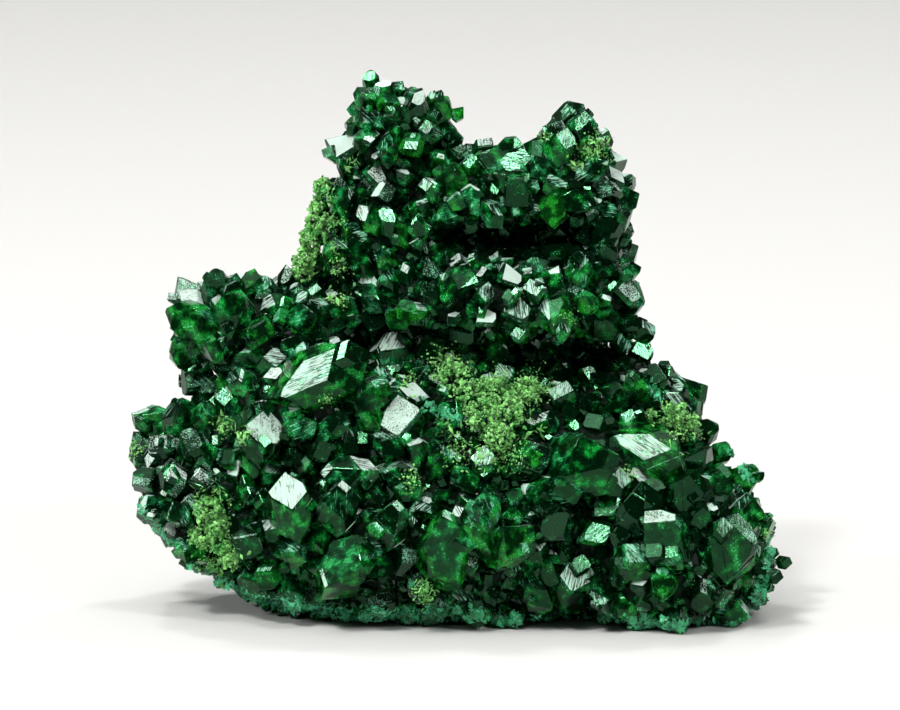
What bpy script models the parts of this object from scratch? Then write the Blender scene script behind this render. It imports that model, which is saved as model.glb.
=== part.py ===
"""A dioptase crystal cluster, free-standing, with crusts of fibrous malachite.

The cluster is one grown piece: a broken mass that carries blocky crystals on every side. It stands on a
flat broken base. Its front is laid out in a picture plane that leans back by VIEW_TILT, as the specimen
is seen: "across" runs to the right and "up" climbs the picture, in millimetres from the middle of the
base line. A crystal's depth comes from the mass behind it.

Each crystal is a hexagonal prism ended by two rhombohedra, the habit of dioptase. Sizes are in
millimetres in the tables, and the model is in metres. +Z is up, and -Y faces the viewer.
"""
import math
import random

import bpy
import bmesh
from mathutils import Matrix, Vector

MM = 0.001

VIEW_TILT = math.radians(10)      # how far the viewer looks down on the specimen
BASE_LINE_UP = 2.95               # the picture height of the origin above the lowest front edge
RIGHT = Vector((1, 0, 0))
PICTURE_UP = Vector((0, math.sin(VIEW_TILT), math.cos(VIEW_TILT)))
AWAY = Vector((0, math.cos(VIEW_TILT), -math.sin(VIEW_TILT)))
SIGHT_REACH = 45                  # how far before and behind the picture plane the mass is looked for
SIGHT_STEP = 0.25
SLOPE_STEP = 0.2                  # how far apart the mass is felt to find the way out of it

RHOMB_SLOPE = 1.2337              # tangent of the angle between a rhombohedron face's normal and the axis
PRISM_SIDES = 6
POISE = 0.05                      # a crystal's middle stands this share of its radius out of the mass
LEAN = 0.75                       # how far a free crystal's axis leans from the way out of the mass
STRETCHES = (0.5, 1.1)            # length of a prism edge in radii, where no row gives one
SEED = 2811

MASS_VOXEL = 1.1                  # grain of the broken mass before it is reduced
MASS_KEEP = 0.03                  # share of its faces that is kept
MASS_DETAIL = 4                   # how finely its ellipsoids are divided before that
HOLLOW_DETAIL = 2
MALACHITE_DETAIL = 1              # a lump of malachite is an icosahedron
GROUND_BLOCK = (90, 60, 30)       # what is cut away below the flat break

# The broken mass, as overlapping ellipsoids: centre x, y, z and half-axes x, y, z.
LUMPS = (
    (0, -1, 10, 25, 13, 15),          # core
    (0, -5.5, 9, 24, 10.5, 9.5),      # lower front
    (21, -4, 6.5, 10.5, 12.5, 9),     # right foot
    (17, 1, 17, 8, 8, 8),             # right shoulder
    (-19.5, -1, 12.5, 11, 9, 10),     # left foot
    (-13, -5, 20, 9, 7, 6.5),         # left slope
    (-22.3, 1, 28, 5, 5.5, 4.3),      # left lobe
    (-16, 2, 27, 7, 7, 5.5),          # neck of the left lobe
    (2.5, 4.5, 31, 14, 8.5, 14.5),    # tower
    (-6.2, 4.5, 44, 4.6, 5, 7.6),     # left peak
    (12, 5, 42.5, 4.2, 5, 6.2),       # right peak
    (-7.8, 4, 37, 4.6, 6, 8),         # left wall of the tower
    (13.8, 4, 34.5, 4, 6.5, 9),       # right wall of the tower
    (5, -1, 31.3, 14, 6, 3.6),        # ledge
    (13, -5, 15, 9, 8, 6),            # right slope
)
# Hollows in the mass, in the same way.
HOLLOWS = (
    (7, -4.5, 37.4, 9.5, 7.5, 2.7),   # the dark hollow under the peaks
    (9, -7, 27, 9, 6, 2.2),           # the recess under the ledge
)

# Crystals read from the front, by region. Each row is: across, up, radius, and for the crystals whose
# posture shows, how long the prism edge is in radii, the clock direction of the axis in degrees
# (0 up, 90 right), its turn towards the viewer, and its spin (0 brings a prism edge to the viewer).
LEFT_PEAK = (
    (-7.9, 55.0, 1.2, 0.8, -10, 20, 0),
    (-6.6, 53.9, 1.5, 0.7, 15, 10, 0),
    (-5.3, 54.3, 1.1, 0.7, 30, -10, 0),
    (-7.9, 51.0, 1.7, 0.8, -35, 35, 10),
    (-3.2, 51.8, 2.6, 0.7, 5, 12, 35),
    (-1.2, 52.3, 1.8, 0.7, 20, 5, 10),
    (0.6, 51.7, 1.1, 0.8, 35, 10, 0),
    (-0.5, 49.4, 2.4, 0.9, 8, 20, 5),
    (-10.4, 48.0, 2.3, 0.8, -50, 30, 25),
    (-8.4, 49.2, 1.7),
    (-6.3, 48.3, 1.6, 0.8, 5, 35, 5),
    (-9.8, 46.0, 1.6, 0.9, -35, 40, 20),
    (-7.7, 45.4, 1.7, 0.8, 15, 30, 10),
    (-10.5, 42.7, 1.9, 0.9, -15, 30, 15),
    (0.1, 45.2, 2.0, 0.7, 0, 35, 0),
    (2.5, 42.9, 2.1, 0.9, 112, 25, 20),
    (-3.0, 40.4, 1.8, 0.8, 170, 20, 0),
    (-6.2, 41.2, 1.6, 1.8, 160, 15, 30),
    (-4.9, 39.7, 1.3, 1.7, 165, 20, 10),
)
RIGHT_PEAK = (
    (5.0, 47.1, 2.3, 1.0, 84, 20, -20),
    (13.2, 49.8, 1.9, 0.9, 8, 35, 10),
    (10.8, 48.4, 2.0, 0.7, 15, 40, 5),
    (14.0, 48.4, 1.7),
    (14.0, 46.2, 1.8, 0.8, 60, 30, 0),
    (9.0, 46.0, 1.6, 0.8, -20, 30, 10),
    (10.6, 44.4, 1.7, 0.7, 0, 50, 0),
    (6.6, 44.2, 2.1, 0.8, 150, 40, 20),
    (10.3, 42.5, 2.1, 0.8, 185, 40, 10),
    (10.2, 39.8, 1.9, 0.8, 180, 25, 0),
    (15.4, 44.0, 1.6),
    (15.7, 40.0, 1.6),
    (13.0, 42.9, 1.8),
)
LEDGE = (
    (-8.8, 36.9, 1.7, 0.8, -40, 40, 10),
    (-6.2, 37.1, 1.8),
    (-8.1, 34.7, 1.7, 0.7, 0, 30, 0),
    (-4.1, 35.6, 1.6),
    (-2.1, 35.8, 1.8, 0.8, -10, 35, 20),
    (0.6, 34.3, 2.3, 0.8, 25, 35, 5),
    (5.7, 35.2, 1.7, 0.7, -10, 50, 10),
    (12.7, 35.6, 2.2, 0.7, 5, 30, 20),
    (9.8, 34.7, 2.0, 0.9, 20, 45, 0),
    (10.6, 31.8, 2.3, 0.8, 172, 35, 10),
    (6.6, 31.8, 2.3, 0.8, -5, 15, 5),
    (3.6, 31.1, 1.7, 0.7, -30, 35, 0),
    (4.5, 28.5, 2.0, 0.8, 175, 35, 15),
    (17.2, 33.8, 2.0, 0.8, 10, 45, 5),
    (15.6, 31.3, 1.9, 1.0, 176, 12, 30),
    (18.0, 30.8, 1.8),
    (16.8, 28.8, 1.7, 0.7, 20, 35, 0),
    (13.4, 33.0, 1.6),
    (-10.9, 32.2, 2.0),
    (-3.6, 32.2, 1.9),
)
LEFT_LOBE = (
    (-26.0, 33.6, 2.2, 0.8, -35, 20, 0),
    (-23.3, 34.3, 2.1, 0.8, -5, 20, 10),
    (-25.6, 30.8, 3.0, 0.8, -60, 35, 10),
    (-21.6, 32.0, 2.6, 0.8, 12, 35, 0),
    (-20.0, 34.3, 1.9, 0.8, 20, 20, 0),
    (-17.1, 32.6, 1.9, 0.7, 45, 45, 0),
    (-16.3, 35.2, 1.3, 1.2, 0, 10, 0),
    (-26.4, 28.0, 2.0),
    (-23.4, 28.6, 1.9),
    (-20.0, 27.3, 2.2, 0.7, 5, 50, 0),
    (-25.0, 24.8, 2.6, 0.8, -40, 20, 15),
    (-21.9, 24.7, 2.3, 0.8, 10, 35, 5),
)
LEFT_SLOPE = (
    (-13.6, 25.4, 3.5, 1.5, 66, 12, 25),
    (-22.2, 22.8, 1.7, 0.7, 0, 30, 0),
    (-6.0, 27.0, 3.1, 0.9, 40, 40, 10),
    (-8.6, 23.8, 2.6),
    (-4.5, 20.8, 2.7, 0.8, -8, 35, 0),
    (-8.0, 21.6, 1.7, 0.9, -10, 10, 30),
    (-5.9, 18.9, 2.2, 0.8, 130, 30, 0),
    (-18.8, 19.4, 3.1, 0.7, 20, 20, 30),
    (-29.3, 21.0, 2.0),
    (-26.8, 21.3, 1.9),
    (-30.5, 18.3, 1.9),
    (-29.7, 15.6, 1.7),
    (-27.3, 15.6, 1.9),
    (-24.4, 15.6, 1.9),
    (-29.0, 12.4, 1.8),
    (-26.3, 12.0, 2.0),
    (-25.4, 8.6, 2.0),
    (-21.6, 6.0, 1.9),
)
LOWER_FRONT = (
    (-15.4, 12.6, 3.5, 0.8, -5, 15, 5),
    (-11.0, 12.6, 2.6, 0.9, 15, 25, 30),
    (-9.2, 15.6, 2.9, 0.9, -80, 10, 25),
    (-5.9, 10.9, 2.4, 0.9, 5, 20, 5),
    (-0.6, 8.6, 3.3, 1.8, -10, 6, 30),
    (2.5, 10.6, 2.3, 1.5, -14, 10, 20),
    (-10.6, 6.8, 3.2, 0.8, 30, 10, 0),
    (-4.6, 15.6, 2.3, 0.8, 120, 25, 15),
    (-1.0, 17.0, 1.7, 0.8, 0, 20, 0),
    (1.5, 15.3, 1.7, 0.9, -25, 25, 10),
    (3.6, 17.0, 1.8, 0.7, 0, 25, 0),
    (-2.8, 4.9, 1.9, 0.8, -40, 25, 0),
    (5.8, 9.0, 2.7, 0.9, 50, 20, 20),
    (9.2, 14.2, 2.0, 0.7, 40, 20, 30),
    (12.6, 16.8, 4.0, 0.9, 82, 22, 15),
    (7.6, 17.4, 2.8, 0.8, 60, 30, 0),
    (19.6, 18.6, 3.0, 1.8, 126, 18, 5),
    (16.2, 14.9, 1.9, 0.7, 20, 30, 30),
    (15.2, 12.6, 1.7, 0.9, 60, 15, 5),
    (14.3, 10.4, 1.8),
    (10.4, 10.6, 2.1),
    (8.4, 4.4, 2.0, 0.8, -20, 20, 30),
    (12.0, 5.4, 2.5, 0.8, 30, 15, 30),
    (5.8, 2.6, 1.8, 1.0, 2, 8, 30),
    (17.8, 7.4, 2.3, 0.8, -30, 35, 30),
    (18.4, 12.0, 2.7, 1.0, 4, 12, 25),
    (21.4, 9.4, 3.0, 0.8, -40, 20, 10),
    (27.0, 8.4, 3.3, 0.9, 12, 8, 30),
    (28.7, 11.4, 2.4),
    (22.8, 13.9, 2.4, 0.8, 20, 20, 30),
    (24.2, 16.6, 2.2),
    (21.0, 5.4, 1.9),
    (15.4, 3.9, 1.9),
    (25.0, 4.0, 1.8),
    (27.8, 2.6, 2.0),
    (-15.4, 8.2, 1.9),
    (-15.2, 4.6, 1.9),
    (-18.6, 5.6, 1.9),
    (-19.6, 9.6, 2.0),
    (-19.5, 14.2, 2.2),
)
RIGHT_EDGE = (
    (18.6, 24.7, 1.7),
    (16.2, 22.8, 1.7),
    (20.6, 22.6, 1.6),
    (25.2, 20.0, 1.8, 0.8, 50, 20, 0),
    (28.7, 15.3, 2.3, 0.8, 50, 20, 20),
    (31.0, 10.9, 1.9),
    (31.2, 7.4, 1.8),
    (30.6, 4.0, 1.8),
)
FRONT_CRYSTALS = LEFT_PEAK + RIGHT_PEAK + LEDGE + LEFT_LOBE + LEFT_SLOPE + LOWER_FRONT + RIGHT_EDGE

# Crystals that a rule sets on the rest of the mass, on the back and the sides.
BACK_RADII = (2.4, 4.0)
BACK_SPACING = 0.92               # how far apart two middles stay, as a share of the sum of their radii
BACK_TRIES = 1500
BACK_SKIN = 0.15                  # how near the surface of the mass a try has to come
BACK_FACING = 0.2                 # how far from the viewer the mass turns where these start
EDGE_SINK = 0.8                   # how deep, in radii, they are sunk where the mass turns sideways
LOWEST_MIDDLE = 1.6               # no crystal's middle is lower than this

# Malachite crusts: lumps placed in the picture plane, as across, up and radius.
MALACHITE = {
    "malachite_slope": (
        (0.4, 25.6, 2.0), (2.0, 23.8, 2.1), (4.2, 24.4, 2.0), (3.2, 21.8, 2.1), (5.6, 22.4, 2.0),
        (4.6, 19.8, 2.1), (7.4, 24.2, 1.9),
    ),
    "malachite_wall": (
        (-12.6, 44.4, 1.3), (-13.0, 42.8, 1.4), (-13.4, 41.0, 1.4), (-13.8, 39.2, 1.5),
        (-14.4, 37.4, 1.6), (-14.8, 35.8, 1.5), (-12.2, 40.6, 1.5),
    ),
    "malachite_foot": (
        (-23.9, 12.6, 1.6), (-23.0, 10.9, 1.6), (-24.6, 10.0, 1.6), (-22.6, 9.2, 1.5), (-21.6, 7.6, 1.5),
    ),
    "malachite_shoulder": (
        (20.8, 21.9, 1.6), (22.4, 21.8, 1.6), (23.8, 21.0, 1.5),
    ),
}
MALACHITE_GAP = 0.32              # clear of the crystals all round
ICOSAHEDRON_INSIDE = 0.795        # the inner radius of an icosahedron whose corners are at 1
MALACHITE_POISE = 0.35            # a lump's middle stands this share of its radius out of the mass

DIOPTASE_FINISH = ("0B6B34", 0.15)     # sRGB colour and roughness
MALACHITE_FINISH = ("4FA83A", 0.85)


def ellipsoid_distance(point, lump):
    """Roughly how far a point is outside an ellipsoid, in millimetres, and negative inside."""
    cx, cy, cz, rx, ry, rz = lump
    x, y, z = point[0] - cx, point[1] - cy, point[2] - cz
    reach = math.sqrt((x / rx) ** 2 + (y / ry) ** 2 + (z / rz) ** 2)
    steepness = math.sqrt((x / rx ** 2) ** 2 + (y / ry ** 2) ** 2 + (z / rz ** 2) ** 2)
    return -min(rx, ry, rz) if steepness < 1e-9 else reach * (reach - 1) / steepness


def mass_distance(point):
    """How far a point is outside the broken mass with its hollows."""
    solid = min(ellipsoid_distance(point, lump) for lump in LUMPS)
    hollow = min(ellipsoid_distance(point, lump) for lump in HOLLOWS)
    return max(solid, -hollow)


def outward(point):
    """The direction out of the mass at a point near its surface."""
    slope = []
    for axis in range(3):
        ahead, behind = list(point), list(point)
        ahead[axis] += SLOPE_STEP
        behind[axis] -= SLOPE_STEP
        slope.append(mass_distance(ahead) - mass_distance(behind))
    return Vector(slope).normalized()


def seen_at(across, up):
    """The point of the mass that the viewer sees there, or the nearest to it where the view passes by."""
    start = RIGHT * across + PICTURE_UP * (up - BASE_LINE_UP)
    nearest, best = None, 1e9
    depth = -SIGHT_REACH
    while depth < SIGHT_REACH:
        point = start + AWAY * depth
        gap = mass_distance(point)
        if gap < best:
            nearest, best = point, gap
        if gap <= 0:
            break
        depth += SIGHT_STEP
    return nearest


def prism_and_rhombs(radius, stretch):
    """The corners and faces of one crystal about its own middle, with its axis along Z."""
    half_edge = stretch * radius / 2
    rise = RHOMB_SLOPE * radius / 2
    corners, faces = [(0, 0, half_edge + 1.5 * rise)], []
    for k in range(PRISM_SIDES):
        turn = math.tau * k / PRISM_SIDES
        shift = -rise / 2 if k % 2 == 0 else rise / 2
        x, y = radius * math.cos(turn), radius * math.sin(turn)
        corners += [(x, y, half_edge + shift), (x, y, -half_edge + shift)]
    corners.append((0, 0, -half_edge - 1.5 * rise))
    for k in range(PRISM_SIDES):
        after = (k + 1) % PRISM_SIDES
        faces.append((1 + 2 * k, 2 + 2 * k, 2 + 2 * after, 1 + 2 * after))
    for k in range(0, PRISM_SIDES, 2):
        before, after, second = (k - 1) % PRISM_SIDES, k + 1, (k + 2) % PRISM_SIDES
        faces.append((0, 1 + 2 * before, 1 + 2 * k, 1 + 2 * after))
        faces.append((len(corners) - 1, 2 + 2 * second, 2 + 2 * after, 2 + 2 * k))
    return corners, faces


def posture(clock, toward, spin):
    """The turn that points a crystal's axis as the picture shows it."""
    clock, toward, spin = map(math.radians, (clock, toward, spin))
    flat = RIGHT * math.sin(clock) + PICTURE_UP * math.cos(clock)
    return turned_to(flat * math.cos(toward) - AWAY * math.sin(toward), spin)


def turned_to(axis, spin):
    """The turn that takes Z to an axis, with X as near the viewer as that allows, then spun about it."""
    side = -AWAY - axis * (-AWAY).dot(axis)
    side = (RIGHT if side.length < 0.05 else side).normalized()
    side = (side - axis * side.dot(axis)).normalized()
    basis = Matrix((side, axis.cross(side), axis)).transposed()
    return basis @ Matrix.Rotation(spin, 3, "Z")


def grown_turn(normal, chance):
    """A crystal that grew freely: its axis leans at random from the way out of the mass."""
    lean = Vector((chance.uniform(-1, 1), chance.uniform(-1, 1), chance.uniform(-0.6, 1)))
    axis = (normal + lean * LEAN).normalized()
    return turned_to(axis, chance.uniform(0, math.tau / 3))


def front_crystals(chance):
    """(middle, turn, radius, stretch) of each crystal in the tables."""
    placed = []
    for across, up, radius, *pose in FRONT_CRYSTALS:
        seat = seen_at(across, up)
        grown = grown_turn(outward(seat), chance)
        stretch = chance.uniform(*STRETCHES)
        if pose:
            stretch, grown = pose[0], posture(*pose[1:])
        placed.append((seat - AWAY * radius * POISE, grown, radius, stretch))
    return placed


def back_crystals(placed, chance):
    """The crystals that a rule sets wherever the mass is still bare."""
    added = []
    for _ in range(BACK_TRIES):
        cx, cy, cz, rx, ry, rz = chance.choice(LUMPS)
        way = Vector([chance.gauss(0, 1) for _ in range(3)]).normalized()
        radius = chance.uniform(*BACK_RADII)
        stretch = chance.uniform(*STRETCHES)
        seat = Vector((cx + rx * way.x, cy + ry * way.y, cz + rz * way.z))
        if abs(mass_distance(seat)) > BACK_SKIN or seat.z < LOWEST_MIDDLE:
            continue
        normal = outward(seat)
        facing = normal.dot(AWAY)
        if facing < BACK_FACING:
            continue
        grown = grown_turn(normal, chance)
        middle = seat - normal * radius * EDGE_SINK * (1 - facing)
        crowded = any((middle - m).length < BACK_SPACING * (radius + r) for m, _, r, _ in placed + added)
        if not crowded:
            added.append((middle, grown, radius, stretch))
    return added


def mesh_object(name, bm):
    """A new object of a mesh that is done."""
    mesh = bpy.data.meshes.new(name)
    bm.normal_update()
    bm.to_mesh(mesh)
    bm.free()
    obj = bpy.data.objects.new(name, mesh)
    bpy.context.scene.collection.objects.link(obj)
    return obj


def helper(obj):
    """Keeps an object out of the part, as a cutter or as something to join."""
    obj.hide_render = True
    obj.display_type = "WIRE"
    return obj


def crystals_object(name, crystals):
    """All crystals in one mesh, still overlapping. The union with the mass makes them one body."""
    bm = bmesh.new()
    for middle, turn, radius, stretch in crystals:
        corners, faces = prism_and_rhombs(radius, stretch)
        points = [bm.verts.new((middle + turn @ Vector(c)) * MM) for c in corners]
        for face in faces:
            bm.faces.new([points[i] for i in face])
    return mesh_object(name, bm)


def lumps_object(name, lumps, detail):
    """Ellipsoids in one mesh, still overlapping."""
    bm = bmesh.new()
    for cx, cy, cz, rx, ry, rz in lumps:
        place = Matrix.Translation(Vector((cx, cy, cz)) * MM) @ Matrix.Diagonal((rx * MM, ry * MM, rz * MM, 1))
        bmesh.ops.create_icosphere(bm, subdivisions=detail, radius=1, matrix=place)
    return mesh_object(name, bm)


def boolean(obj, other, operation, overlapping=False):
    """Adds a Boolean, which also takes a mesh whose own bodies overlap."""
    step = obj.modifiers.new(f"{operation.lower()}_{other.name}", "BOOLEAN")
    step.operation = operation
    step.object = other
    step.solver = "EXACT"
    step.use_self = overlapping


def settle(obj):
    """Applies an object's modifiers."""
    evaluated = obj.evaluated_get(bpy.context.evaluated_depsgraph_get())
    mesh = bpy.data.meshes.new_from_object(evaluated)
    obj.modifiers.clear()
    obj.data = mesh


def keep_largest(obj):
    """Deletes crumbs that the cuts set free, and keeps the one large body."""
    bm = bmesh.new()
    bm.from_mesh(obj.data)
    unseen, bodies = set(bm.verts), []
    while unseen:
        body, edge = set(), [unseen.pop()]
        while edge:
            vert = edge.pop()
            body.add(vert)
            for link in vert.link_edges:
                other = link.other_vert(vert)
                if other in unseen:
                    unseen.remove(other)
                    edge.append(other)
        bodies.append(body)
    bodies.sort(key=len)
    crumbs = [v for body in bodies[:-1] for v in body]
    bmesh.ops.delete(bm, geom=crumbs, context="VERTS")
    bm.to_mesh(obj.data)
    bm.free()


def finish(name, hex_colour, roughness):
    """A Principled material of one colour."""
    material = bpy.data.materials.new(name)
    material.use_nodes = True
    shader = material.node_tree.nodes["Principled BSDF"]
    parts = [int(hex_colour[i:i + 2], 16) / 255 for i in (0, 2, 4)]
    linear = [c / 12.92 if c <= 0.04045 else ((c + 0.055) / 1.055) ** 2.4 for c in parts]
    shader.inputs["Base Color"].default_value = (*linear, 1)
    shader.inputs["Roughness"].default_value = roughness
    return material


def broken_mass():
    """The mass under the crystals: the ellipsoids as one closed body, reduced to broken facets."""
    mass = lumps_object("dioptase_cluster", LUMPS, MASS_DETAIL)
    remesh = mass.modifiers.new("one_body", "REMESH")
    remesh.mode = "VOXEL"
    remesh.voxel_size = MASS_VOXEL * MM
    reduce = mass.modifiers.new("facets", "DECIMATE")
    reduce.ratio = MASS_KEEP
    hollows = helper(lumps_object("hollow_cutter", HOLLOWS, HOLLOW_DETAIL))
    boolean(mass, hollows, "DIFFERENCE", overlapping=True)
    return mass


def ground_cutter():
    """The block below the ground, which the cluster is broken off at."""
    bm = bmesh.new()
    bmesh.ops.create_cube(bm, size=1)
    bmesh.ops.scale(bm, vec=Vector(GROUND_BLOCK) * MM, verts=bm.verts)
    bmesh.ops.translate(bm, vec=Vector((0, 0, -GROUND_BLOCK[2] / 2)) * MM, verts=bm.verts)
    return helper(mesh_object("ground_cutter", bm))


def malachite_lumps(rows, grow=0.0):
    """The lumps of one crust, which stand out of the surface that the viewer sees there."""
    lumps = []
    for across, up, radius in rows:
        middle = seen_at(across, up) - AWAY * radius * MALACHITE_POISE
        lumps.append((*middle, *[radius + grow] * 3))
    return lumps


def fused(name, lumps):
    """Overlapping lumps as one closed body."""
    body = lumps_object(name, lumps[:1], MALACHITE_DETAIL)
    others = helper(lumps_object(f"{name}_others", lumps[1:], MALACHITE_DETAIL))
    boolean(body, others, "UNION", overlapping=True)
    settle(body)
    return body


def clear_scene():
    """Removes what the startup scene holds."""
    for obj in list(bpy.data.objects):
        bpy.data.objects.remove(obj)


def build_malachite():
    """The crusts, and the cutter for the pockets that they lie in."""
    pockets = []
    for name, rows in MALACHITE.items():
        crust = fused(name, malachite_lumps(rows))
        crust.data.materials.append(finish("malachite", *MALACHITE_FINISH))
        pockets += malachite_lumps(rows, MALACHITE_GAP / ICOSAHEDRON_INSIDE)
    return helper(fused("malachite_pockets", pockets))


def build_cluster(pockets):
    """The mass with all its crystals, less the pockets, broken off flat below."""
    chance = random.Random(SEED)
    front = front_crystals(chance)
    crystals = helper(crystals_object("crystals", front + back_crystals(front, chance)))
    cluster = broken_mass()
    settle(cluster)
    boolean(cluster, crystals, "UNION", overlapping=True)
    settle(cluster)
    boolean(cluster, pockets, "DIFFERENCE", overlapping=True)
    boolean(cluster, ground_cutter(), "DIFFERENCE")
    settle(cluster)
    keep_largest(cluster)
    cluster.data.materials.clear()
    cluster.data.materials.append(finish("dioptase", *DIOPTASE_FINISH))


clear_scene()
build_cluster(build_malachite())
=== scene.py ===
"""The dressed dioptase cluster: blocky emerald crystals, the small growth between them, and its crusts.

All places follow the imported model. Its front is laid out in a picture plane that leans back by VIEW_TILT:
"across" runs right and "up" climbs the picture, in millimetres from the middle of the base line. Tables
are in millimetres, and meshes are in metres. +Z is up, and -Y faces the viewer.
"""
import logging
import math
import random
from dataclasses import dataclass, field, replace
from enum import Enum
from functools import partial
from itertools import repeat
from typing import Iterable, Sequence

import bmesh
import bpy
import numpy as np
from mathutils import Matrix, Vector, noise
from mathutils.bvhtree import BVHTree


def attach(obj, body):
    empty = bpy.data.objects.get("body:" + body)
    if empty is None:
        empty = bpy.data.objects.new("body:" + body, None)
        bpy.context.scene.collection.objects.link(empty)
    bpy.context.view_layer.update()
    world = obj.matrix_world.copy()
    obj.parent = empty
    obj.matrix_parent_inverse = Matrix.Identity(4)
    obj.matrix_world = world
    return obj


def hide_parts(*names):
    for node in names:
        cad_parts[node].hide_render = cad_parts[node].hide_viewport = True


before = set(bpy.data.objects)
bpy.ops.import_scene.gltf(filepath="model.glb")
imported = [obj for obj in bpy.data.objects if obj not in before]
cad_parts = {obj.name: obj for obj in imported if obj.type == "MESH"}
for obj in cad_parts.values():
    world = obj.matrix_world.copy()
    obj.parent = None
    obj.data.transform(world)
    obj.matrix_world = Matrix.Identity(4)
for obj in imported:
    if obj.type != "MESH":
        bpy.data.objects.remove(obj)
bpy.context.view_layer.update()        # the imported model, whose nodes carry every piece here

LOG = logging.getLogger("dioptase")
MM = 0.001
BODY = "root"

VIEW_TILT = math.radians(10)      # how far the viewer looks down on the specimen
BASE_LINE_UP = 2.95               # the picture height of the origin above the lowest front edge
RIGHT = Vector((1, 0, 0))
PICTURE_UP = Vector((0, math.sin(VIEW_TILT), math.cos(VIEW_TILT)))
AWAY = Vector((0, math.cos(VIEW_TILT), -math.sin(VIEW_TILT)))
SIGHT_REACH = 45                  # how far in front of and behind the picture plane the view is followed
SIGHT_STEP = 0.25
LIT_MIDDLE = Vector((0, 0, 0.025))  # the place that the lights face, in metres

RHOMB_SLOPE = 1.2337              # tangent of the angle between a rhombohedron face's normal and the axis
PRISM_SIDES = 6
POISE = 0.05                      # a crystal's middle stands this share of its radius out of the mass
LEAN = 0.75                       # how far a freely grown crystal's axis strays from the way out of the mass
FREE_STRETCH = (0.5, 1.1)         # how long its prism edge is, in radii
SEED = 2811

# A crystal lies in a dark gap where larger ones close by stand higher than it does, and its colour is
# darkened there as painted shade.
GAP_WIDTH = 1.1                   # how close they are
WALL_TOP = 0.4                    # how far a larger crystal's top stands over its middle, in its radii
WALL_RISE = 0.8                   # how much higher that is than the small one's middle, in its radii
DARK_WALLS = 3                    # how many of them make the gap dark

Lump = tuple[float, float, float, float, float, float]
Row = tuple[float, ...]
Seen = tuple[Vector, Vector]      # a place on the surface and the way out of it

# The broken mass, as overlapping ellipsoids: centre x, y, z and half-axes x, y, z.
LUMPS = (
    (0, -1, 10, 25, 13, 15),          # core
    (0, -5.5, 9, 24, 10.5, 9.5),      # lower front
    (21, -4, 6.5, 10.5, 12.5, 9),     # right foot
    (17, 1, 17, 8, 8, 8),             # right shoulder
    (-19.5, -1, 12.5, 11, 9, 10),     # left foot
    (-13, -5, 20, 9, 7, 6.5),         # left slope
    (-22.3, 1, 28, 5, 5.5, 4.3),      # left lobe
    (-16, 2, 27, 7, 7, 5.5),          # neck of the left lobe
    (2.5, 4.5, 31, 14, 8.5, 14.5),    # tower
    (-6.2, 4.5, 44, 4.6, 5, 7.6),     # left peak
    (12, 5, 42.5, 4.2, 5, 6.2),       # right peak
    (-7.8, 4, 37, 4.6, 6, 8),         # left wall of the tower
    (13.8, 4, 34.5, 4, 6.5, 9),       # right wall of the tower
    (5, -1, 31.3, 14, 6, 3.6),        # ledge
    (13, -5, 15, 9, 8, 6),            # right slope
)
# Hollows in the mass, in the same way.
HOLLOWS = (
    (7, -4.5, 37.4, 9.5, 7.5, 2.7),   # the dark hollow under the peaks
    (9, -7, 27, 9, 6, 2.2),           # the recess under the ledge
)

# Crystals read from the front, by region. Each row is: across, up, radius, and for the crystals whose
# posture shows, how long the prism edge is in radii, the clock direction of the axis in degrees
# (0 up, 90 right), its turn towards the viewer, and its spin (0 brings a prism edge to the viewer).
LEFT_PEAK = (
    (-7.9, 55.0, 1.2, 0.8, -10, 20, 0), (-6.6, 53.9, 1.5, 0.7, 15, 10, 0),
    (-5.3, 54.3, 1.1, 0.7, 30, -10, 0), (-7.9, 51.0, 1.7, 0.8, -35, 35, 10),
    (-3.2, 51.8, 2.6, 0.7, 5, 12, 35), (-1.2, 52.3, 1.8, 0.7, 20, 5, 10), (0.6, 51.7, 1.1, 0.8, 35, 10, 0),
    (-0.5, 49.4, 2.4, 0.9, 8, 20, 5), (-10.4, 48.0, 2.3, 0.8, -50, 30, 25), (-8.4, 49.2, 1.7),
    (-6.3, 48.3, 1.6, 0.8, 5, 35, 5), (-9.8, 46.0, 1.6, 0.9, -35, 40, 20),
    (-7.7, 45.4, 1.7, 0.8, 15, 30, 10), (-10.5, 42.7, 1.9, 0.9, -15, 30, 15),
    (0.1, 45.2, 2.0, 0.7, 0, 35, 0), (2.5, 42.9, 2.1, 0.9, 112, 25, 20), (-3.0, 40.4, 1.8, 0.8, 170, 20, 0),
    (-6.2, 41.2, 1.6, 1.8, 160, 15, 30), (-4.9, 39.7, 1.3, 1.7, 165, 20, 10),
)
RIGHT_PEAK = (
    (5.0, 47.1, 2.3, 1.0, 84, 20, -20), (13.2, 49.8, 1.9, 0.9, 8, 35, 10),
    (10.8, 48.4, 2.0, 0.7, 15, 40, 5), (14.0, 48.4, 1.7), (14.0, 46.2, 1.8, 0.8, 60, 30, 0),
    (9.0, 46.0, 1.6, 0.8, -20, 30, 10), (10.6, 44.4, 1.7, 0.7, 0, 50, 0),
    (6.6, 44.2, 2.1, 0.8, 150, 40, 20), (10.3, 42.5, 2.1, 0.8, 185, 40, 10),
    (10.2, 39.8, 1.9, 0.8, 180, 25, 0), (15.4, 44.0, 1.6), (15.7, 40.0, 1.6), (13.0, 42.9, 1.8),
)
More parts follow.
